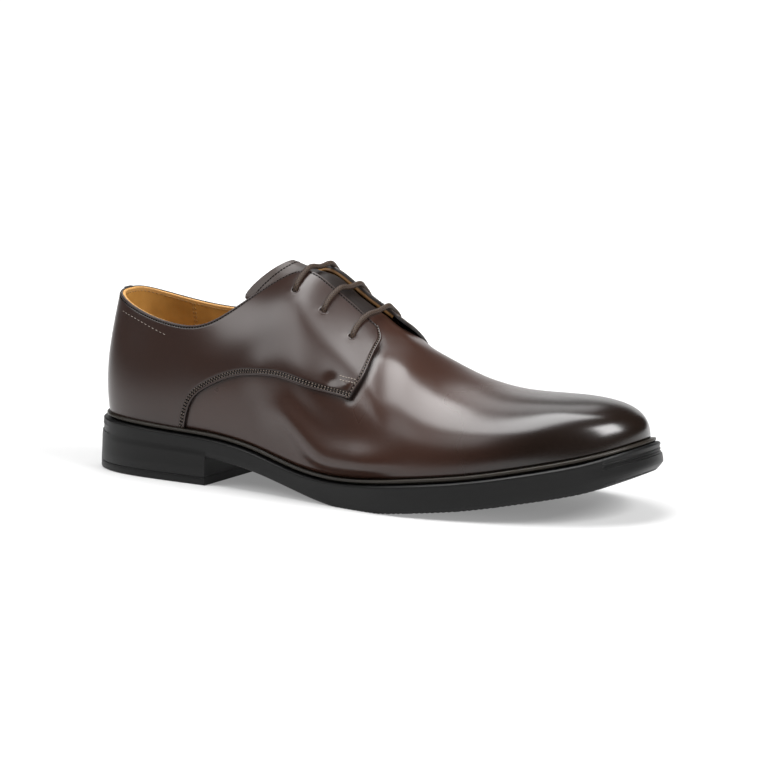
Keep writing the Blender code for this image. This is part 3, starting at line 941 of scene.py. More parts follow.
# Dent and raised spot of the bar tack at the front corner: share, height up the wall, depth, width
TACK_FORMS = (
    (0.545, 0.460, 0.9, 3.2),
    (0.575, 0.468, -0.7, 1.7))
HOLE_RADIUS = 1.75
HOLE_REACH = 4.5

PANEL_RING, PANEL_UP = panel_grid()
PANEL_BASE = last(PANEL_RING, PANEL_UP)
ON_SEAM = PANEL_UP[:, 0] > 0.002


def seam_line(inner_side):
    """Ring and height of the panel's lower seam on one side."""
    return mirrored(PANEL_RING[ON_SEAM, 0], inner_side), PANEL_UP[ON_SEAM, 0]


def border(shape):
    """True for the points on a grid's border."""
    on_border = np.ones(shape, bool)
    on_border[1:-1, 1:-1] = False
    return on_border


def collar_roll(ring, top):
    """How far the panel turns in towards the collar's edge; top is the distance from that edge."""
    back = ease((COLLAR_BACK[0] - share_at(ring)) / COLLAR_BACK[1])
    return COLLAR_ROLL * back * np.exp(-top / ROLL_DEPTH)


def panel_relief():
    """How far the panel's outer face stands off the upper, and how dark it is painted: darker near a cut
    edge, with painted shade in the stitch channels.
    """
    flat = PANEL_BASE.reshape(-1, 3)
    shape = PANEL_RING.shape
    seam, front, top, back = (gap_to_path(flat, path).reshape(shape) for path in (
        PANEL_BASE[ON_SEAM, 0], PANEL_BASE[-1], PANEL_BASE[:, -1], PANEL_BASE[0]))
    edge = np.minimum(np.minimum(seam, front), np.minimum(top, back))
    out = PANEL_FACE - EDGE_ROUND + EDGE_ROUND * rounded(edge, EDGE_ROUND)
    out -= groove(seam, SEAM_ROWS) + groove(front, (EDGE_ROW,)) + groove(top, (EDGE_ROW,), 0.2)
    out -= collar_roll(PANEL_RING, top)
    for share, up, depth, reach in TACK_FORMS:
        away = np.linalg.norm(PANEL_BASE - last(turn(share), up), axis=-1)
        out -= depth * hump(away, reach)
    out[border(shape)] = UNDER_PANEL
    out += side_swell(PANEL_RING, PANEL_UP)
    dark = np.clip(1 - edge / 0.16, 0, 1)
    # Painted shade in the stitch channels and needle holes
    holes = sum(groove(edge_gap, rows, 1.0, 0.52)
                for edge_gap, rows in ((seam, SEAM_ROWS), (front, (EDGE_ROW,)), (top, (EDGE_ROW,))))
    return out, np.maximum(dark, np.clip(holes, 0, 1))


def add_panel(name, inner_side, material):
    out, dark = panel_relief()
    ring = mirrored(PANEL_RING, inner_side)
    face = skin(ring, PANEL_UP, out)
    under = skin(ring, PANEL_UP, UNDER_PANEL + side_swell(ring, PANEL_UP))
    points, faces = join_grids([(face, False, inner_side), (under, False, not inner_side)])
    for share, up in EYELETS:
        hole = skin(mirrored(turn(share), inner_side), up, 0.8)
        axis = skin_normal(mirrored(turn(share), inner_side), up)
        away = points - hole
        away -= np.sum(away * axis, axis=-1, keepdims=True) * axis
        reach = np.linalg.norm(away, axis=-1)
        near = np.linalg.norm(points - hole, axis=-1) < HOLE_REACH
        push = HOLE_RADIUS * (1 - reach / HOLE_REACH) * near
        points = points + push[:, None] * away / np.maximum(reach, 1e-6)[:, None]
        middle = points[faces].mean(axis=1)
        faces = faces[np.linalg.norm(middle - hole, axis=-1) > HOLE_RADIUS - 0.1]
    piece = add_piece(name + "_panel", points, faces, material, welded=False)
    # Edge mask: painted cut edges, painted shade in the stitch channels, and the hidden under face dark
    paint(piece, "edge", np.concatenate((dark.ravel(), np.ones(dark.size))))
    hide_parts(name)
    return piece, name


# Back strip: half width as an angle round the sole, lower end, and the places of its stitches
STRIP_BASE = PANEL_FACE - 0.1
STRIP_UNDER = STRIP_BASE - 0.3
STRIP_HALF = 0.088
STRIP_END = 0.59
STRIP_ROW = 1.3
STRIP_STITCH_HALF = 0.068
STRIP_STITCH_UP = (0.61, 0.985)
STRIP_STITCH_OUT = STRIP_BASE + 0.85


def strip_grid():
    """Ring and height of the strip's points, fine along its edges."""
    side = np.linspace(0.06, STRIP_HALF, 12)
    ring = np.concatenate((-side[::-1], np.linspace(-0.055, 0.055, 20), side))
    up = np.concatenate((
        np.linspace(STRIP_END, 0.63, 14), np.linspace(0.64, 0.97, 40), np.linspace(0.975, 1.0, 14)))
    return np.meshgrid(ring, up, indexing="ij")


def add_back_strip(material):
    ring, up = strip_grid()
    base = last(ring, up)
    rim = np.concatenate((base[0], base[1:-1, -1], base[-1][::-1], base[1:-1, 0][::-1], base[:1, 0]))
    edge = gap_to_path(base.reshape(-1, 3), rim).reshape(ring.shape)
    out = STRIP_BASE + 0.4 + 0.5 * rounded(edge, 0.5) - groove(edge, (STRIP_ROW,))
    out[border(ring.shape)] = STRIP_UNDER
    points, faces = join_grids([
        (skin(ring, up, out), False, False), (skin(ring, up, STRIP_UNDER), False, True)])
    piece = add_piece("back_strip_piece", points, faces, material, welded=False)
    # Painted shade in the stitch channel, added to the darker cut edges
    holes = np.clip(groove(edge, (STRIP_ROW,), 0.8), 0, 1)
    dark = np.maximum(np.clip(1 - (edge - 0.15) / 0.4, 0, 1), holes)
    paint(piece, "edge", np.concatenate((dark.ravel(), np.ones(edge.size))))
    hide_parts("back_strip")
    return piece, "back_strip"


# Lining: one skin inside the side panels, rolled over at the top line

def lining_columns():
    front = turn(FRONT[0, 1]) - 0.012
    return np.linspace(-front, front, 300)


def lining_place(column, up):
    """Ring angle of a lining column at a height: it leans with the facing's front edge."""
    start = turn(SHEAR_START)
    front = turn(FRONT[0, 1])
    side = np.sign(column)
    shear = np.clip((np.abs(column) - start) / (front - start), 0, 1)
    return column + side * shear * (turn(front_share(up)) - front)


def add_lining(material):
    column = lining_columns()[:, None]
    up = np.concatenate((np.linspace(0.02, 0.9, 30), np.linspace(0.915, 0.985, 12)))[None, :]
    ring = lining_place(column, up)
    inside = skin(ring, up, -UPPER_WALL)
    swing = np.linspace(np.pi, 0, 13)[None, 1:]
    top_ring = lining_place(column, np.ones((1, 1)))
    rising = unit(last(top_ring, 1.0) - last(top_ring, 0.98))
    rise = (0.35 * np.sin(swing) - 0.5)[..., None]
    rim = skin(top_ring, 1.0, -0.78 + 0.82 * np.cos(swing)) + rise * rising
    outer_up = np.linspace(0.985, 0.93, 5)[None, :]
    outside = skin(lining_place(column, outer_up), outer_up, 0.04)
    grid = np.concatenate((inside, rim, outside), axis=1)
    piece = add_piece("lining", *join_grids([(grid, False, True)]), material, welded=False)
    facing = ease((share_at(column) - 0.40) / 0.05) * np.ones(grid.shape[:2])
    # Painted highlight along the lining's rolled rim, behind the facings only
    pale = np.zeros(grid.shape[:2])
    pale[:, inside.shape[1] - 4:] = 0.45
    paint(piece, "edge", (pale * (1 - facing)).ravel())
    # Painted shade over the lining inside the facings
    paint(piece, "wear_and_shade", 0.85 * facing.ravel())
    return piece, "insole"


# Rubber sole unit, heel lift, welt and footbed

SOLE_HALF = 420


def sole_stations():
    steps = np.arange(2 * SOLE_HALF) / SOLE_HALF
    ring = np.pi * steps + 0.15 * np.sin(2 * np.pi * steps)
    breast = int(np.argmin(np.abs(share_at(ring[:SOLE_HALF]) - BREAST)))
    ring[breast] = turn(BREAST)
    ring[-breast] = 2 * np.pi - ring[breast]
    return ring, breast


SOLE_RING, BREAST_STATION = sole_stations()


def end_bands(ring):
    """Where the ridged bands of the sole's side lie: round the back of the heel and the toe front."""
    share = share_at(ring)
    return ease((0.062 - share) / 0.05), np.clip((share - 0.962) / 0.002, 0, 1)


def across(line, first, stop, steps=15):
    """Grid that joins the two halves of a ring of points, from one station to another."""
    count = len(line)
    station = np.arange(first, stop + 1)
    outer, inner = line[station], line[(count - station) % count]
    t = np.linspace(0, 1, steps)[None, :, None]
    return outer[:, None] * (1 - t) + inner[:, None] * t


TOE_LIP = 1.0
TREAD_PITCH = 2.6
TREAD_DEPTH = 0.4
TREAD_HOLLOW = 1.2
LIFT_SEAT = LIFT_HEIGHT + 0.15

# Lower wall of the heel block, then the wear layer under it: set back, level
HEEL_STEPS = (
    (0.27, 9.0),
    (0.02, LIFT_SEAT + 0.3),
    (0.1, LIFT_SEAT + 0.05),
    (0.5, LIFT_SEAT))
LIFT_STEPS = (
    (0.5, LIFT_HEIGHT),
    (0.1, LIFT_HEIGHT - 0.05),
    (0.0, LIFT_HEIGHT - 0.3),
    (-0.05, 1.0),
    (0.15, 0.3),
    (0.7, 0.0))


def tread_notch(ring):
    """Notches of the tread along the forefoot's lower edge."""
    share = share_at(ring)
    place = np.mod(LENGTH * share, TREAD_PITCH) / TREAD_PITCH
    inside = ease((share - 0.46) / 0.02) * ease((0.985 - share) / 0.02)
    return TREAD_DEPTH * inside * (place < 0.32)


def heel_walls(rows):
    """Side and front face of the heel from rings of points, the side from the lowest ring up."""
    heel_ring = np.arange(-BREAST_STATION, BREAST_STATION + 1) % len(SOLE_RING)
    side = np.stack([row[heel_ring] for row in rows], 1)
    front = np.array([across(row, BREAST_STATION, BREAST_STATION)[0] for row in rows])
    return side[:, ::-1], front


def add_outsole(material):
    ring = SOLE_RING
    heel = share_at(ring) <= BREAST + 1e-6
    top = foot_level(ring) - WELT_THICK - GAP
    bottom = sole_bottom(ring)
    heel_band, toe_band = end_bands(ring)
    toe = ease((share_at(ring) - 0.93) / 0.07)
    rows = []
    for drop, set_back, heel_depth, toe_depth, toe_round in SIDE_STEPS:
        flare = -0.3 * ease((drop - 0.6) / 0.4)
        back = np.where(heel & (drop > 0.6), flare, set_back)
        back = back + heel_depth * heel_band + toe_depth * toe_band + toe_round * toe
        level = top + drop * (bottom - top)
        if drop < 0.1 and set_back < 2.0:
            level = level + TOE_LIP * toe
        if drop == 1.0:
            level = level + np.where(heel, 0.0, tread_notch(ring))
        rows.append(ring_at(ring, back, level))
    side = np.stack(rows, 1)
    heel_rows = [rows[-1]]
    for set_back, level in HEEL_STEPS:
        heel_rows.append(ring_at(ring, set_back - HEEL_FLARE, np.full(ring.shape, level)))
    heel_side, breast_rows = heel_walls(heel_rows)
    sole_plate = across(rows[-1], BREAST_STATION, SOLE_HALF)
    inset = np.minimum(np.linspace(0, 1, 15), np.linspace(1, 0, 15))
    hollow = ease((LENGTH * share_at(ring[BREAST_STATION:SOLE_HALF + 1]) - 130) / 12)
    sole_plate[..., 2] += TREAD_HOLLOW * hollow[:, None] * ease(inset / 0.14)[None, :]
    grids = [
        (side[:, ::-1], True, False),
        (heel_side, False, False),
        (across(rows[0], 0, SOLE_HALF), False, False),
        (sole_plate, False, True),
        (across(heel_rows[-1], 0, BREAST_STATION), False, True),
        (breast_rows, False, True)]
    piece = add_piece("sole_unit", *join_grids(grids), material, sharp=32)
    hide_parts("outsole")
    return piece, "outsole"


def add_heel_lift(material):
    rows = []
    for set_back, level in LIFT_STEPS:
        rows.append(ring_at(SOLE_RING, set_back - HEEL_FLARE, np.full(SOLE_RING.shape, level)))
    side, front = heel_walls(rows)
    grids = [
        (side, False, False),
        (across(rows[0], 0, BREAST_STATION), False, False),
        (across(rows[-1], 0, BREAST_STATION), False, True),
        (front, False, True)]
    piece = add_piece("heel_lift", *join_grids(grids), material, sharp=32)
    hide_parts("heel_top_lift")
    return piece, "heel_top_lift"


# Section of the welt: set back from its own edge, height over the foot level
WELT_SECTION = (
    (9.0, -2.2),
    (2.1, -2.2),
    (1.9, -1.5),
    (1.0, -1.35),
    (0.25, -1.3),
    (0.03, -1.1),
    (0.0, -0.6),
    (0.08, -0.2),
    (0.3, 0.0),
    (0.6, 0.03),
    (0.85, -0.1),
    (0.95, -0.3),
    (1.1, -0.3),
    (1.25, -0.05),
    (1.5, 0.05),
    (1.8, -0.05),
    (9.0, -0.1))


def add_welt(material):
    level = foot_level(SOLE_RING)
    edge = read(WELT_EDGE, 1, SOLE_RING)
    rows = [ring_at(SOLE_RING, edge + set_back, level + height) for set_back, height in WELT_SECTION]
    rows.append(rows[0])
    piece = add_piece("welt_strip", *join_grids([(np.stack(rows, 1), True, False)]), material, sharp=50)
    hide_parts("welt")
    return piece, "welt"


def add_footbed(material):
    """Leather footbed with a soft edge and a shallow heel hollow."""
    ring = SOLE_RING[::3]
    half = SOLE_HALF // 3
    base = foot_level(ring) + GAP
    inside = read(LEDGE, 1, ring) + UPPER_WALL + 0.7
    rows = [ring_at(ring, inside + 0.3, base), ring_at(ring, inside, base + 1.5),
            ring_at(ring, inside + 0.25, base + 2.5), ring_at(ring, inside + 1.2, base + INSOLE_THICK)]
    top = across(rows[-1], 0, half, 21)
    t = np.linspace(-1, 1, 21)[None, :]
    along = np.linspace(0, 1, half + 1)[:, None]
    top[..., 2] -= 0.8 * (1 - t ** 2) * ease((0.35 - along) / 0.2)
    grids = [
        (np.stack(rows, 1), True, False),
        (top, False, False),
        (across(rows[0], 0, half, 21), False, True)]
    piece = add_piece("footbed", *join_grids(grids), material, sharp=60)
    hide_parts("insole")
    return piece, "insole"


# Laces and eyelets

def lace_path(share, up):
    """Up through one eyelet, along the facing, over the throat and down through the other eyelet."""
    rest = PANEL_FACE + LACE_RADIUS - 0.1
    ups = np.array((up - 0.010, up - 0.002, up + 0.012, up + 0.035))
    outs = np.array((-1.5, 0.5, PANEL_FACE + 0.5, rest - 0.1))
    more = np.linspace(up + 0.035, 1.0, 4)[1:]
    ups = np.concatenate((ups, more))
    outs = np.concatenate((outs, np.full(len(more), rest)))
    outer = skin(turn(share), ups, outs)
    inner = skin(2 * np.pi - turn(share), ups, np.minimum(outs, rest - 0.3))[::-1]
    crown = (outer[-1] + inner[0]) / 2 - np.array((0, 0, 0.3))
    knots = np.concatenate((outer, crown[None], inner))
    steps = arc_lengths(knots)
    at = np.linspace(0, steps[-1], 110)
    return spline_columns(steps, knots, at)


def tube(path, radius, sides):
    """Rings of points round a path, their seam underneath, and the map along and round it."""
    along = unit(np.gradient(path, axis=0))
    middle = len(path) // 2
    normals = np.zeros(path.shape)
    normals[middle] = (0.0, 0.0, 1.0)
    for order in (range(middle + 1, len(path)), range(middle - 1, -1, -1)):
        previous = normals[middle]
        for i in order:
            previous = previous - along[i] * np.dot(previous, along[i])
            previous = previous / np.linalg.norm(previous)
            normals[i] = previous
    sideways = np.cross(along, normals)
    swing = np.pi + np.linspace(0, 2 * np.pi, sides + 1)
    ring = np.cos(swing)[None, :, None] * normals[:, None] + np.sin(swing)[None, :, None] * sideways[:, None]
    lengths = arc_lengths(path)
    where = np.stack(np.broadcast_arrays(lengths[:, None], np.linspace(0, 1, sides + 1)[None, :]), -1)
    return path[:, None] + radius * ring, where.reshape(-1, 2)


def add_lace(number, share, up, material):
    grid, where = tube(lace_path(share, up), LACE_RADIUS, 18)
    piece = add_piece(f"lace_{number}", *join_grids([(grid, False, False)]), material, welded=False)
    corners = np.zeros(len(piece.data.loops), int)
    piece.data.loops.foreach_get("vertex_index", corners)
    layer = piece.data.uv_layers.new(name="lace")
    layer.uv.foreach_set("vector", where[corners].ravel().astype(np.float32))
    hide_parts(f"lace_bar_{number}")
    return piece, f"lace_bar_{number}"


# Section of an eyelet: distance from its middle, height over the panel's face
EYELET_SECTION = (
    (2.75, -0.15),
    (2.5, 0.0),
    (2.2, 0.07),
    (1.9, 0.08),
    (1.7, -0.02),
    (1.6, -0.4),
    (1.55, -1.7),
    (0.01, -1.7))


def path_object(name, chains):
    """A mesh of edges along several chains of (points, normals), for the trees below."""
    points = np.concatenate([chain[0] for chain in chains])
    normals = np.concatenate([chain[1] for chain in chains])
    edges = []
    start = 0
    for chain, _ in chains:
        edges += [(start + i, start + i + 1) for i in range(len(chain) - 1)]
        start += len(chain)
    mesh = bpy.data.meshes.new(name)
    mesh.from_pydata(((points - MIDDLE) * MM).tolist(), edges, [])
    layer = mesh.attributes.new("facing", "FLOAT_VECTOR", "POINT")
    layer.data.foreach_set("vector", normals.ravel().astype(np.float32))
    piece = bpy.data.objects.new(name, mesh)
    bpy.context.scene.collection.objects.link(piece)
    return piece


def new_tree(name, inputs):
    tree = bpy.data.node_groups.new(name, "GeometryNodeTree")
    tree.interface.new_socket("Geometry", in_out="INPUT", socket_type="NodeSocketGeometry")
    for socket, kind in inputs:
        tree.interface.new_socket(socket, in_out="INPUT", socket_type=kind)
    tree.interface.new_socket("Geometry", in_out="OUTPUT", socket_type="NodeSocketGeometry")
    return tree, put(tree, "NodeGroupInput").outputs


def leather_facing(tree):
    return put(tree, "GeometryNodeInputNamedAttribute", {"Name": "facing"},
               data_type="FLOAT_VECTOR").outputs[0]


def stitch_tree():
    """Stitches set along a path at even steps, each turned to the path and to the leather's face."""
    sizes = [(size, "NodeSocketFloat") for size in ("Pitch", "Length", "Width", "Height")]
    tree, given = new_tree("row_of_stitches", sizes + [("Thread", "NodeSocketMaterial")])
    line = put(tree, "GeometryNodeMeshToCurve", {"Mesh": given["Geometry"]})
    steps = put(tree, "GeometryNodeResampleCurve", {"Curve": line.outputs[0], "Length": given["Pitch"]},
                mode="LENGTH")
    forward = put(tree, "GeometryNodeInputTangent").outputs[0]
    facing = leather_facing(tree)
    first = put(tree, "FunctionNodeAlignRotationToVector", {"Vector": forward}, axis="X")
    whole = put(tree, "FunctionNodeAlignRotationToVector", {"Rotation": first.outputs[0], "Vector": facing},
                axis="Z", pivot_axis="X")
    bead = put(tree, "GeometryNodeMeshUVSphere", {"Segments": 8, "Rings": 6, "Radius": 0.5})
    size = put(tree, "ShaderNodeCombineXYZ", {0: given["Length"], 1: given["Width"], 2: given["Height"]})
    stitch = put(tree, "GeometryNodeTransform", {"Geometry": bead.outputs["Mesh"], "Scale": size.outputs[0]})
    many = put(tree, "GeometryNodeInstanceOnPoints", {
        "Points": steps.outputs[0], "Instance": stitch.outputs[0], "Rotation": whole.outputs[0]})
    real = put(tree, "GeometryNodeRealizeInstances", {"Geometry": many.outputs[0]})
    smooth = put(tree, "GeometryNodeSetShadeSmooth", {"Geometry": real.outputs[0]})
    done = put(tree, "GeometryNodeSetMaterial", {"Geometry": smooth.outputs[0], "Material": given["Thread"]})
    put(tree, "NodeGroupOutput", {"Geometry": done.outputs[0]})
    return tree


def eyelet_tree():
    """A punched eyelet, turned from its section, set at each point and facing out of the leather."""
    tree, given = new_tree("set_of_eyelets", [
        ("Eyelet", "NodeSocketObject"), ("Leather", "NodeSocketMaterial")])
    shape = put(tree, "GeometryNodeObjectInfo", {"Object": given["Eyelet"]})
    facing = leather_facing(tree)
    turned = put(tree, "FunctionNodeAlignRotationToVector", {"Vector": facing}, axis="Z")
    many = put(tree, "GeometryNodeInstanceOnPoints", {
        "Points": given["Geometry"], "Instance": shape.outputs["Geometry"], "Rotation": turned.outputs[0]})
    real = put(tree, "GeometryNodeRealizeInstances", {"Geometry": many.outputs[0]})
    done = put(tree, "GeometryNodeSetMaterial", {"Geometry": real.outputs[0], "Material": given["Leather"]})
    put(tree, "NodeGroupOutput", {"Geometry": done.outputs[0]})
    return tree


def grow(piece, tree, values):
    """Runs a tree on a piece with its named inputs and keeps the result as a plain mesh."""
    modifier = piece.modifiers.new(tree.name, "NODES")
    modifier.node_group = tree
    for socket in tree.interface.items_tree:
        if socket.in_out == "INPUT" and socket.name in values:
            modifier[socket.identifier] = values[socket.name]
    return bake_modifiers(piece)


def add_eyelets(material):
    swing = np.linspace(0, 2 * np.pi, 33)[:-1]
    section = np.array(EYELET_SECTION)
    grid = np.stack((section[None, :, 0] * np.cos(swing)[:, None],
                     section[None, :, 0] * np.sin(swing)[:, None],
                     np.broadcast_to(section[None, :, 1], (len(swing), len(section)))), -1)
    shape = add_piece("eyelet_shape", *join_grids([(grid + MIDDLE, True, False)]), material)
    points = []
    normals = []
    for share, up in EYELETS:
        for ring in (turn(share), 2 * np.pi - turn(share)):
            points.append(skin(ring, up, PANEL_FACE))
            normals.append(skin_normal(ring, up))
    piece = path_object("eyelets", [(np.array(points), np.array(normals))])
    grow(piece, eyelet_tree(), {"Eyelet": shape, "Leather": material})
    bpy.data.objects.remove(shape)
    return piece, "quarter_lateral"


def skin_chain(ring, up, out):
    """A line on the upper's face, moved out: points and normals."""
    return skin(ring, up, out), skin_normal(ring, up)


def inset_chain(ring, up, inwards, distance, out):
    """A line beside an edge at a distance in from it: points and normals; inwards is +1 or -1."""
    base = last(ring, up)
    normal = skin_normal(ring, up)
    along = unit(np.gradient(base, axis=0))
    lift = (out + side_swell(ring, up))[:, None] * normal
    return base + inwards * distance * unit(np.cross(normal, along)) + lift, normal


def panel_chains(inner_side):
    side = -1 if inner_side else 1
    out = PANEL_FACE - 0.1
    chains = []
    seam_ring, seam_up = seam_line(inner_side)
    for place in SEAM_ROWS:
        chains.append(inset_chain(seam_ring[:-4], seam_up[:-4], side, place, out))
    front = inset_chain(mirrored(PANEL_RING[-1, 3:-3], inner_side), PANEL_UP[-1, 3:-3], side, EDGE_ROW, out)
    top_ring = PANEL_RING[3:-3, -1]
    top_out = out - collar_roll(top_ring, EDGE_ROW)
    top = inset_chain(mirrored(top_ring, inner_side), PANEL_UP[3:-3, -1], -side, EDGE_ROW, top_out)
    inside = np.linalg.norm(top[0] - front[0][-1], axis=-1) > 2.0
    chains.append(front)
    return chains, [(top[0][inside], top[1][inside])]


# Rows of the bar tack: shares and heights of their ends, and how far the second lies above the first
TACK_SHARES = (0.565, 0.592)
TACK_UPS = (0.483, 0.497)
TACK_LIFTS = (0.0, 0.022)


def tack_chains(inner_side):
    """Two short rows across the front corner, just above the dent of the bar tack."""
    ring = mirrored(turn(np.linspace(*TACK_SHARES, 12)), inner_side)
    up = np.linspace(*TACK_UPS, 12)
    return [skin_chain(ring, up + lift, PANEL_FACE + 0.05) for lift in TACK_LIFTS]


def heel_line_chain(inner_side):
    share = np.linspace(HEEL_LINE[0, 0], HEEL_LINE[-1, 0], 40)
    up = spline(HEEL_LINE[:, 0], HEEL_LINE[:, 1], share)
    return skin_chain(mirrored(turn(share), inner_side), up, PANEL_FACE + 0.02)


def strip_chains():
    """Rows up both edges of the back strip and one across its lower end."""
    up = np.linspace(*STRIP_STITCH_UP, 60)
    chains = []
    for ring in (-STRIP_STITCH_HALF, STRIP_STITCH_HALF):
        chains.append(skin_chain(np.full(len(up), ring), up, STRIP_STITCH_OUT))
    ring = np.linspace(-0.066, 0.066, 30)
    chains.append(skin_chain(ring, np.full(len(ring), STRIP_STITCH_UP[0]), STRIP_STITCH_OUT))
    return chains


def tongue_chain():
    grid = tongue_grid()
    across_line = unit(np.gradient(grid, axis=1))
    along = unit(np.gradient(grid, axis=0))
    normal = unit(np.cross(across_line, along))
    normal = normal * np.sign(normal[..., 2:3])
    line = grid[TONGUE_LINE] + 0.02 * normal[TONGUE_LINE]
    return line[2:-2], normal[TONGUE_LINE][2:-2]


# Stitches of the lining: height of the row under the collar, then the double row beside the heel
LINING_ROW_UP = 0.965
HEEL_ROWS_SHARE = 0.121
HEEL_ROWS_APART = 0.007
HEEL_ROWS_UP = (0.45, 0.955)


def lining_chains():
    column = lining_columns()[6:-6]
    up = np.full(len(column), LINING_ROW_UP)
    lines = [(lining_place(column, up), up)]
    up = np.linspace(*HEEL_ROWS_UP, 50)
    for side in (-1, 1):
        for shift in (-HEEL_ROWS_APART, HEEL_ROWS_APART):
            lines.append((np.full(len(up), side * (turn(HEEL_ROWS_SHARE) + shift)), up))
    return [(skin(ring, up, -UPPER_WALL - 0.05), -skin_normal(ring, up)) for ring, up in lines]


def between(chain, pitch):
    """The same line, half a step shorter at both ends: its marks fall between the stitches."""
    lengths = arc_lengths(chain[0])
    at = np.linspace(pitch / 2, lengths[-1] - pitch / 2, len(lengths))
    return [points_at(values, lengths, at) for values in chain]


def add_stitches(name, chains, thread, tree, sizes):
    """Rows of stitches; sizes are the pitch and one stitch's length, width and height in millimetres."""
    values = {socket: size * MM for socket, size in zip(("Pitch", "Length", "Width", "Height"), sizes)}
    values["Thread"] = thread
    return grow(path_object(name, chains), tree, values)


# Studio: camera as in the photograph, white floor and soft lights

CAMERA_TARGET = Vector((0.0, 0.000686, 0.05))
CAMERA_AZIMUTH = math.radians(31.0)
CAMERA_ELEVATION = math.radians(9.3)
CAMERA_DISTANCE = 1.5
CAMERA_LENS = 144.07
CAMERA_SHIFT = (0.02135, 0.00371)

# Softboxes: direction from the shoe, distance, width, height, power, direction of the lamp's upright
LAMPS = (
    ("left_softbox", (-0.612, -0.513, 0.602), 1.7, 1.5, 0.75, 15.5, (-0.27, 0.32, 0.91)),
    ("overhead_strip", (-0.165, 0.03, 1.0), 1.55, 0.76, 1.45, 31.5, (0.18, 0.98, 0.0)),
    ("front_softbox", (0.765, -0.06, 0.643), 1.5, 0.75, 0.75, 29.0, (0.0, 0.0, 1.0)),
    ("back_softbox", (-0.41, 0.65, 0.64), 2.0, 0.9, 0.8, 3.6, (0.0, 0.0, 1.0)))

# Floor: its own white, and its glow in steps of distance from the shoe: start, end, amount. The glow is
# painted light, weakest under the shoe, where it paints the shadow.
# It dims to a share beside the heel: direction on the floor, where the dimming starts and ends
FLOOR_REACH = 20.0
FLOOR_WHITE = 0.4
FLOOR_GLOW = (
    (-1.0, 0.0, 0.22),
    (0.02, 0.09, 0.2),
    (0.10, 1.0, 0.6))
SOLE_DRAWN_IN = (0.35, 1.0, 1.0)
DIM_DIRECTION = (-0.766, -0.643, 0.0)
DIM_RANGE = (0.2, 0.7)
DIM_SHARE = 0.5
BACKDROP_GLOW = ((-1.0, 0.0, 1.0),)
BACKDROP_PLACE = 7.0
BACKDROP_HEIGHT = 2.4
BACKDROP_SIDES = (-12.0, -0.5)
ROOM_GREY = (0.03, 0.03, 0.03, 1.0)


def add_camera():
    azimuth, elevation = CAMERA_AZIMUTH, CAMERA_ELEVATION
    back = Vector((math.sin(azimuth) * math.cos(elevation), -math.cos(azimuth) * math.cos(elevation),
                   math.sin(elevation)))
    right = Vector((math.cos(azimuth), math.sin(azimuth), 0.0))
    lens = bpy.data.cameras.new("camera")
    lens.sensor_width = 36.0
    lens.lens = CAMERA_LENS
    lens.shift_x, lens.shift_y = CAMERA_SHIFT
    camera = bpy.data.objects.new("camera", lens)
    turned = Matrix((right, back.cross(right), back)).transposed().to_4x4()
    turned.translation = CAMERA_TARGET + CAMERA_DISTANCE * back
    camera.matrix_world = turned
    bpy.context.scene.collection.objects.link(camera)
    bpy.context.scene.camera = camera


def add_light(name, direction, distance, width, height, power, upright):
    lamp = bpy.data.lights.new(name, "AREA")
    lamp.shape = "RECTANGLE"
    lamp.size = width
    lamp.size_y = height
    lamp.energy = power
    light = bpy.data.objects.new(name, lamp)
    towards = Vector(direction).normalized()
    across_lamp = Vector(upright).cross(towards).normalized()
    turned = Matrix((across_lamp, towards.cross(across_lamp), towards)).transposed().to_4x4()
    turned.translation = CAMERA_TARGET + distance * towards
    light.matrix_world = turned
    bpy.context.scene.collection.objects.link(light)


def white_paper(name, albedo, glow_steps, far_left):
    """White paper that glows as painted light; its glow grows with the distance from the sole's long
    outline, which paints the shadow under the shoe.

    Beside the heel it fades to a share, far_left, of that glow.
    """
    material, tree, shader = new_material(name, roughness=0.9, specular_ior_level=0.0)
    place = object_place(tree)
    drawn_in = put(tree, "ShaderNodeVectorMath", {0: place, 1: SOLE_DRAWN_IN}, operation="MULTIPLY")
    far = put(tree, "ShaderNodeVectorMath", {0: drawn_in.outputs[0]}, operation="LENGTH").outputs["Value"]
    beside = put(tree, "ShaderNodeVectorMath", {0: place, 1: DIM_DIRECTION}, operation="DOT_PRODUCT")
    dim = stretch(tree, beside.outputs["Value"], 1.0, far_left, *DIM_RANGE, "SMOOTHSTEP")
    glow = 0.0
    for start, end, amount in glow_steps:
        glow = calculate(tree, "ADD", stretch(tree, far, 0.0, amount, start, end, "SMOOTHSTEP"), glow)
    tree.links.new(calculate(tree, "MULTIPLY", dim, albedo), shader.inputs["Base Color"])
    shader.inputs["Emission Color"].default_value = (1.0, 1.0, 1.0, 1.0)
    tree.links.new(calculate(tree, "MULTIPLY", glow, dim), shader.inputs["Emission Strength"])
    return material


def white_plane(name, corners, material):
    mesh = bpy.data.meshes.new(name)
    mesh.from_pydata(corners, [], [(0, 1, 2, 3)])
    mesh.materials.append(material)
    plane = bpy.data.objects.new(name, mesh)
    bpy.context.scene.collection.objects.link(plane)


def add_floor():
    reach = FLOOR_REACH
    paper = white_paper("floor_paper", FLOOR_WHITE, FLOOR_GLOW, DIM_SHARE)
    corners = [(-reach, -reach, 0), (reach, -reach, 0), (reach, reach, 0), (-reach, reach, 0)]
    white_plane("floor", corners, paper)
    back, tall = BACKDROP_PLACE, BACKDROP_HEIGHT
    left, right = BACKDROP_SIDES
    corners = [(left, back, 0), (right, back, 0), (right, back, tall), (left, back, tall)]
    white_plane("backdrop", corners, white_paper("backdrop_paper", 0.0, BACKDROP_GLOW, 1.0))


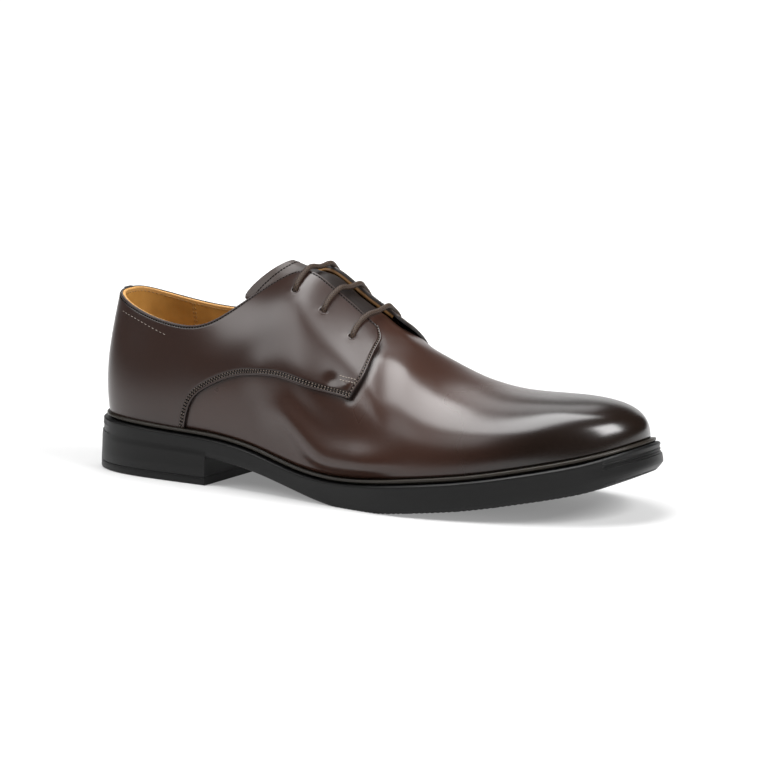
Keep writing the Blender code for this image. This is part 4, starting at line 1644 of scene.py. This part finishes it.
def add_studio():
    add_floor()
    for lamp in LAMPS:
        add_light(*lamp)
    world = bpy.data.worlds.new("studio")
    world.use_nodes = True
    world.node_tree.nodes["Background"].inputs["Color"].default_value = ROOM_GREY
    bpy.context.scene.world = world
    bpy.context.scene.view_settings.view_transform = "Standard"


add_camera()
add_studio()

VAMP_CALF = calf_leather("vamp_calf", "#38231b", "#291812", 0.28, shine=0.45)
# The panels' brown is darker than the vamp's: painted shade for the quarters, which lie away from the lamps
PANEL_CALF = calf_leather("panel_calf", "#2f1e18", "#231612", 0.29, burnished=False, shine=0.4)
STRIP_CALF = calf_leather("strip_calf", "#35261f", "#261a16", 0.38, burnished=False)
TONGUE_CALF = calf_leather("tongue_calf", "#32251f", "#241a16", 0.36, burnished=False, shine=0.22)
TAN_LINING = lining_leather("tan_lining_leather", "#b4833f", "#976729")
FOOTBED_TAN = lining_leather("footbed_leather", "#b07c40", "#94632c")
SOLE_RUBBER = moulded_rubber("black_moulded_rubber", "#0a0a0a", "#0f0f0f", 0.4)
LIFT_RUBBER = moulded_rubber("heel_lift_rubber", "#0a0a0a", "#0e0e0e", 0.42)
WELT_RUBBER = moulded_rubber("welt_strip_rubber", "#23201b", "#2b2721", 0.36)
NEEDLE_HOLES = needle_holes("needle_holes")
LACE_COTTON = waxed_lace("waxed_braided_lace")
BROWN_THREAD = sewing_thread("brown_thread", "#7d6b5e")
PALE_THREAD = sewing_thread("pale_thread", "#b5a89c")
TAN_THREAD = sewing_thread("tan_thread", "#c08f4c")

made = [
    add_vamp(VAMP_CALF),
    add_vamp_lining(FOOTBED_TAN),
    add_tongue(TONGUE_CALF),
    add_panel("quarter_lateral", False, PANEL_CALF),
    add_panel("quarter_medial", True, PANEL_CALF),
    add_back_strip(STRIP_CALF),
    add_lining(TAN_LINING),
    add_outsole(SOLE_RUBBER),
    add_heel_lift(LIFT_RUBBER),
    add_welt(WELT_RUBBER),
    add_footbed(FOOTBED_TAN),
    add_eyelets(PANEL_CALF)]
for lace_number, (lace_share, lace_up) in enumerate(EYELETS, start=1):
    made.append(add_lace(lace_number, lace_share, lace_up, LACE_COTTON))

STITCHES = stitch_tree()
SIDES = (False, True)
outer_rows, outer_top = panel_chains(False)
inner_rows, inner_top = panel_chains(True)
panel_rows = outer_rows + inner_rows
hole_rows = [between(row, PANEL_PITCH) for row in panel_rows]
heel_rows = [heel_line_chain(inner_side) for inner_side in SIDES]
tack_rows = [row for inner_side in SIDES for row in tack_chains(inner_side)]

# Stitches: piece, its rows, thread, pitch and one stitch's length, width and height, the node it lies on
STITCHING = (
    ("panel_stitches", panel_rows, BROWN_THREAD, (PANEL_PITCH, 1.0, 0.6, 0.5), "quarter_lateral"),
    # panel_holes, collar_stitches and tongue_stitches are near-black beads: painted shadow in the needle
    # holes and stitch channels
    ("panel_holes", hole_rows, NEEDLE_HOLES, (PANEL_PITCH, 0.8, 0.8, 0.42), "quarter_lateral"),
    ("collar_stitches", outer_top + inner_top, NEEDLE_HOLES, (1.65, 1.15, 0.6, 0.5), "quarter_lateral"),
    ("tack_stitches", tack_rows, PALE_THREAD, (1.5, 1.2, 0.55, 0.5), "quarter_lateral"),
    ("strip_stitches", strip_chains(), BROWN_THREAD, (1.65, 1.2, 0.5, 0.4), "back_strip"),
    ("tongue_stitches", [tongue_chain()], NEEDLE_HOLES, (1.65, 1.5, 0.8, 0.4), "tongue"),
    ("heel_line_stitches", heel_rows, PALE_THREAD, (2.7, 1.7, 0.36, 0.3), "quarter_lateral"),
    ("lining_stitches", lining_chains(), TAN_THREAD, (2.2, 1.6, 0.5, 0.4), "insole"))
for stitch_name, rows_of, thread, stitch_sizes, slot_of in STITCHING:
    made.append((add_stitches(stitch_name, rows_of, thread, STITCHES, stitch_sizes), slot_of))

for piece, slot_name in made:
    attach(piece, "root")
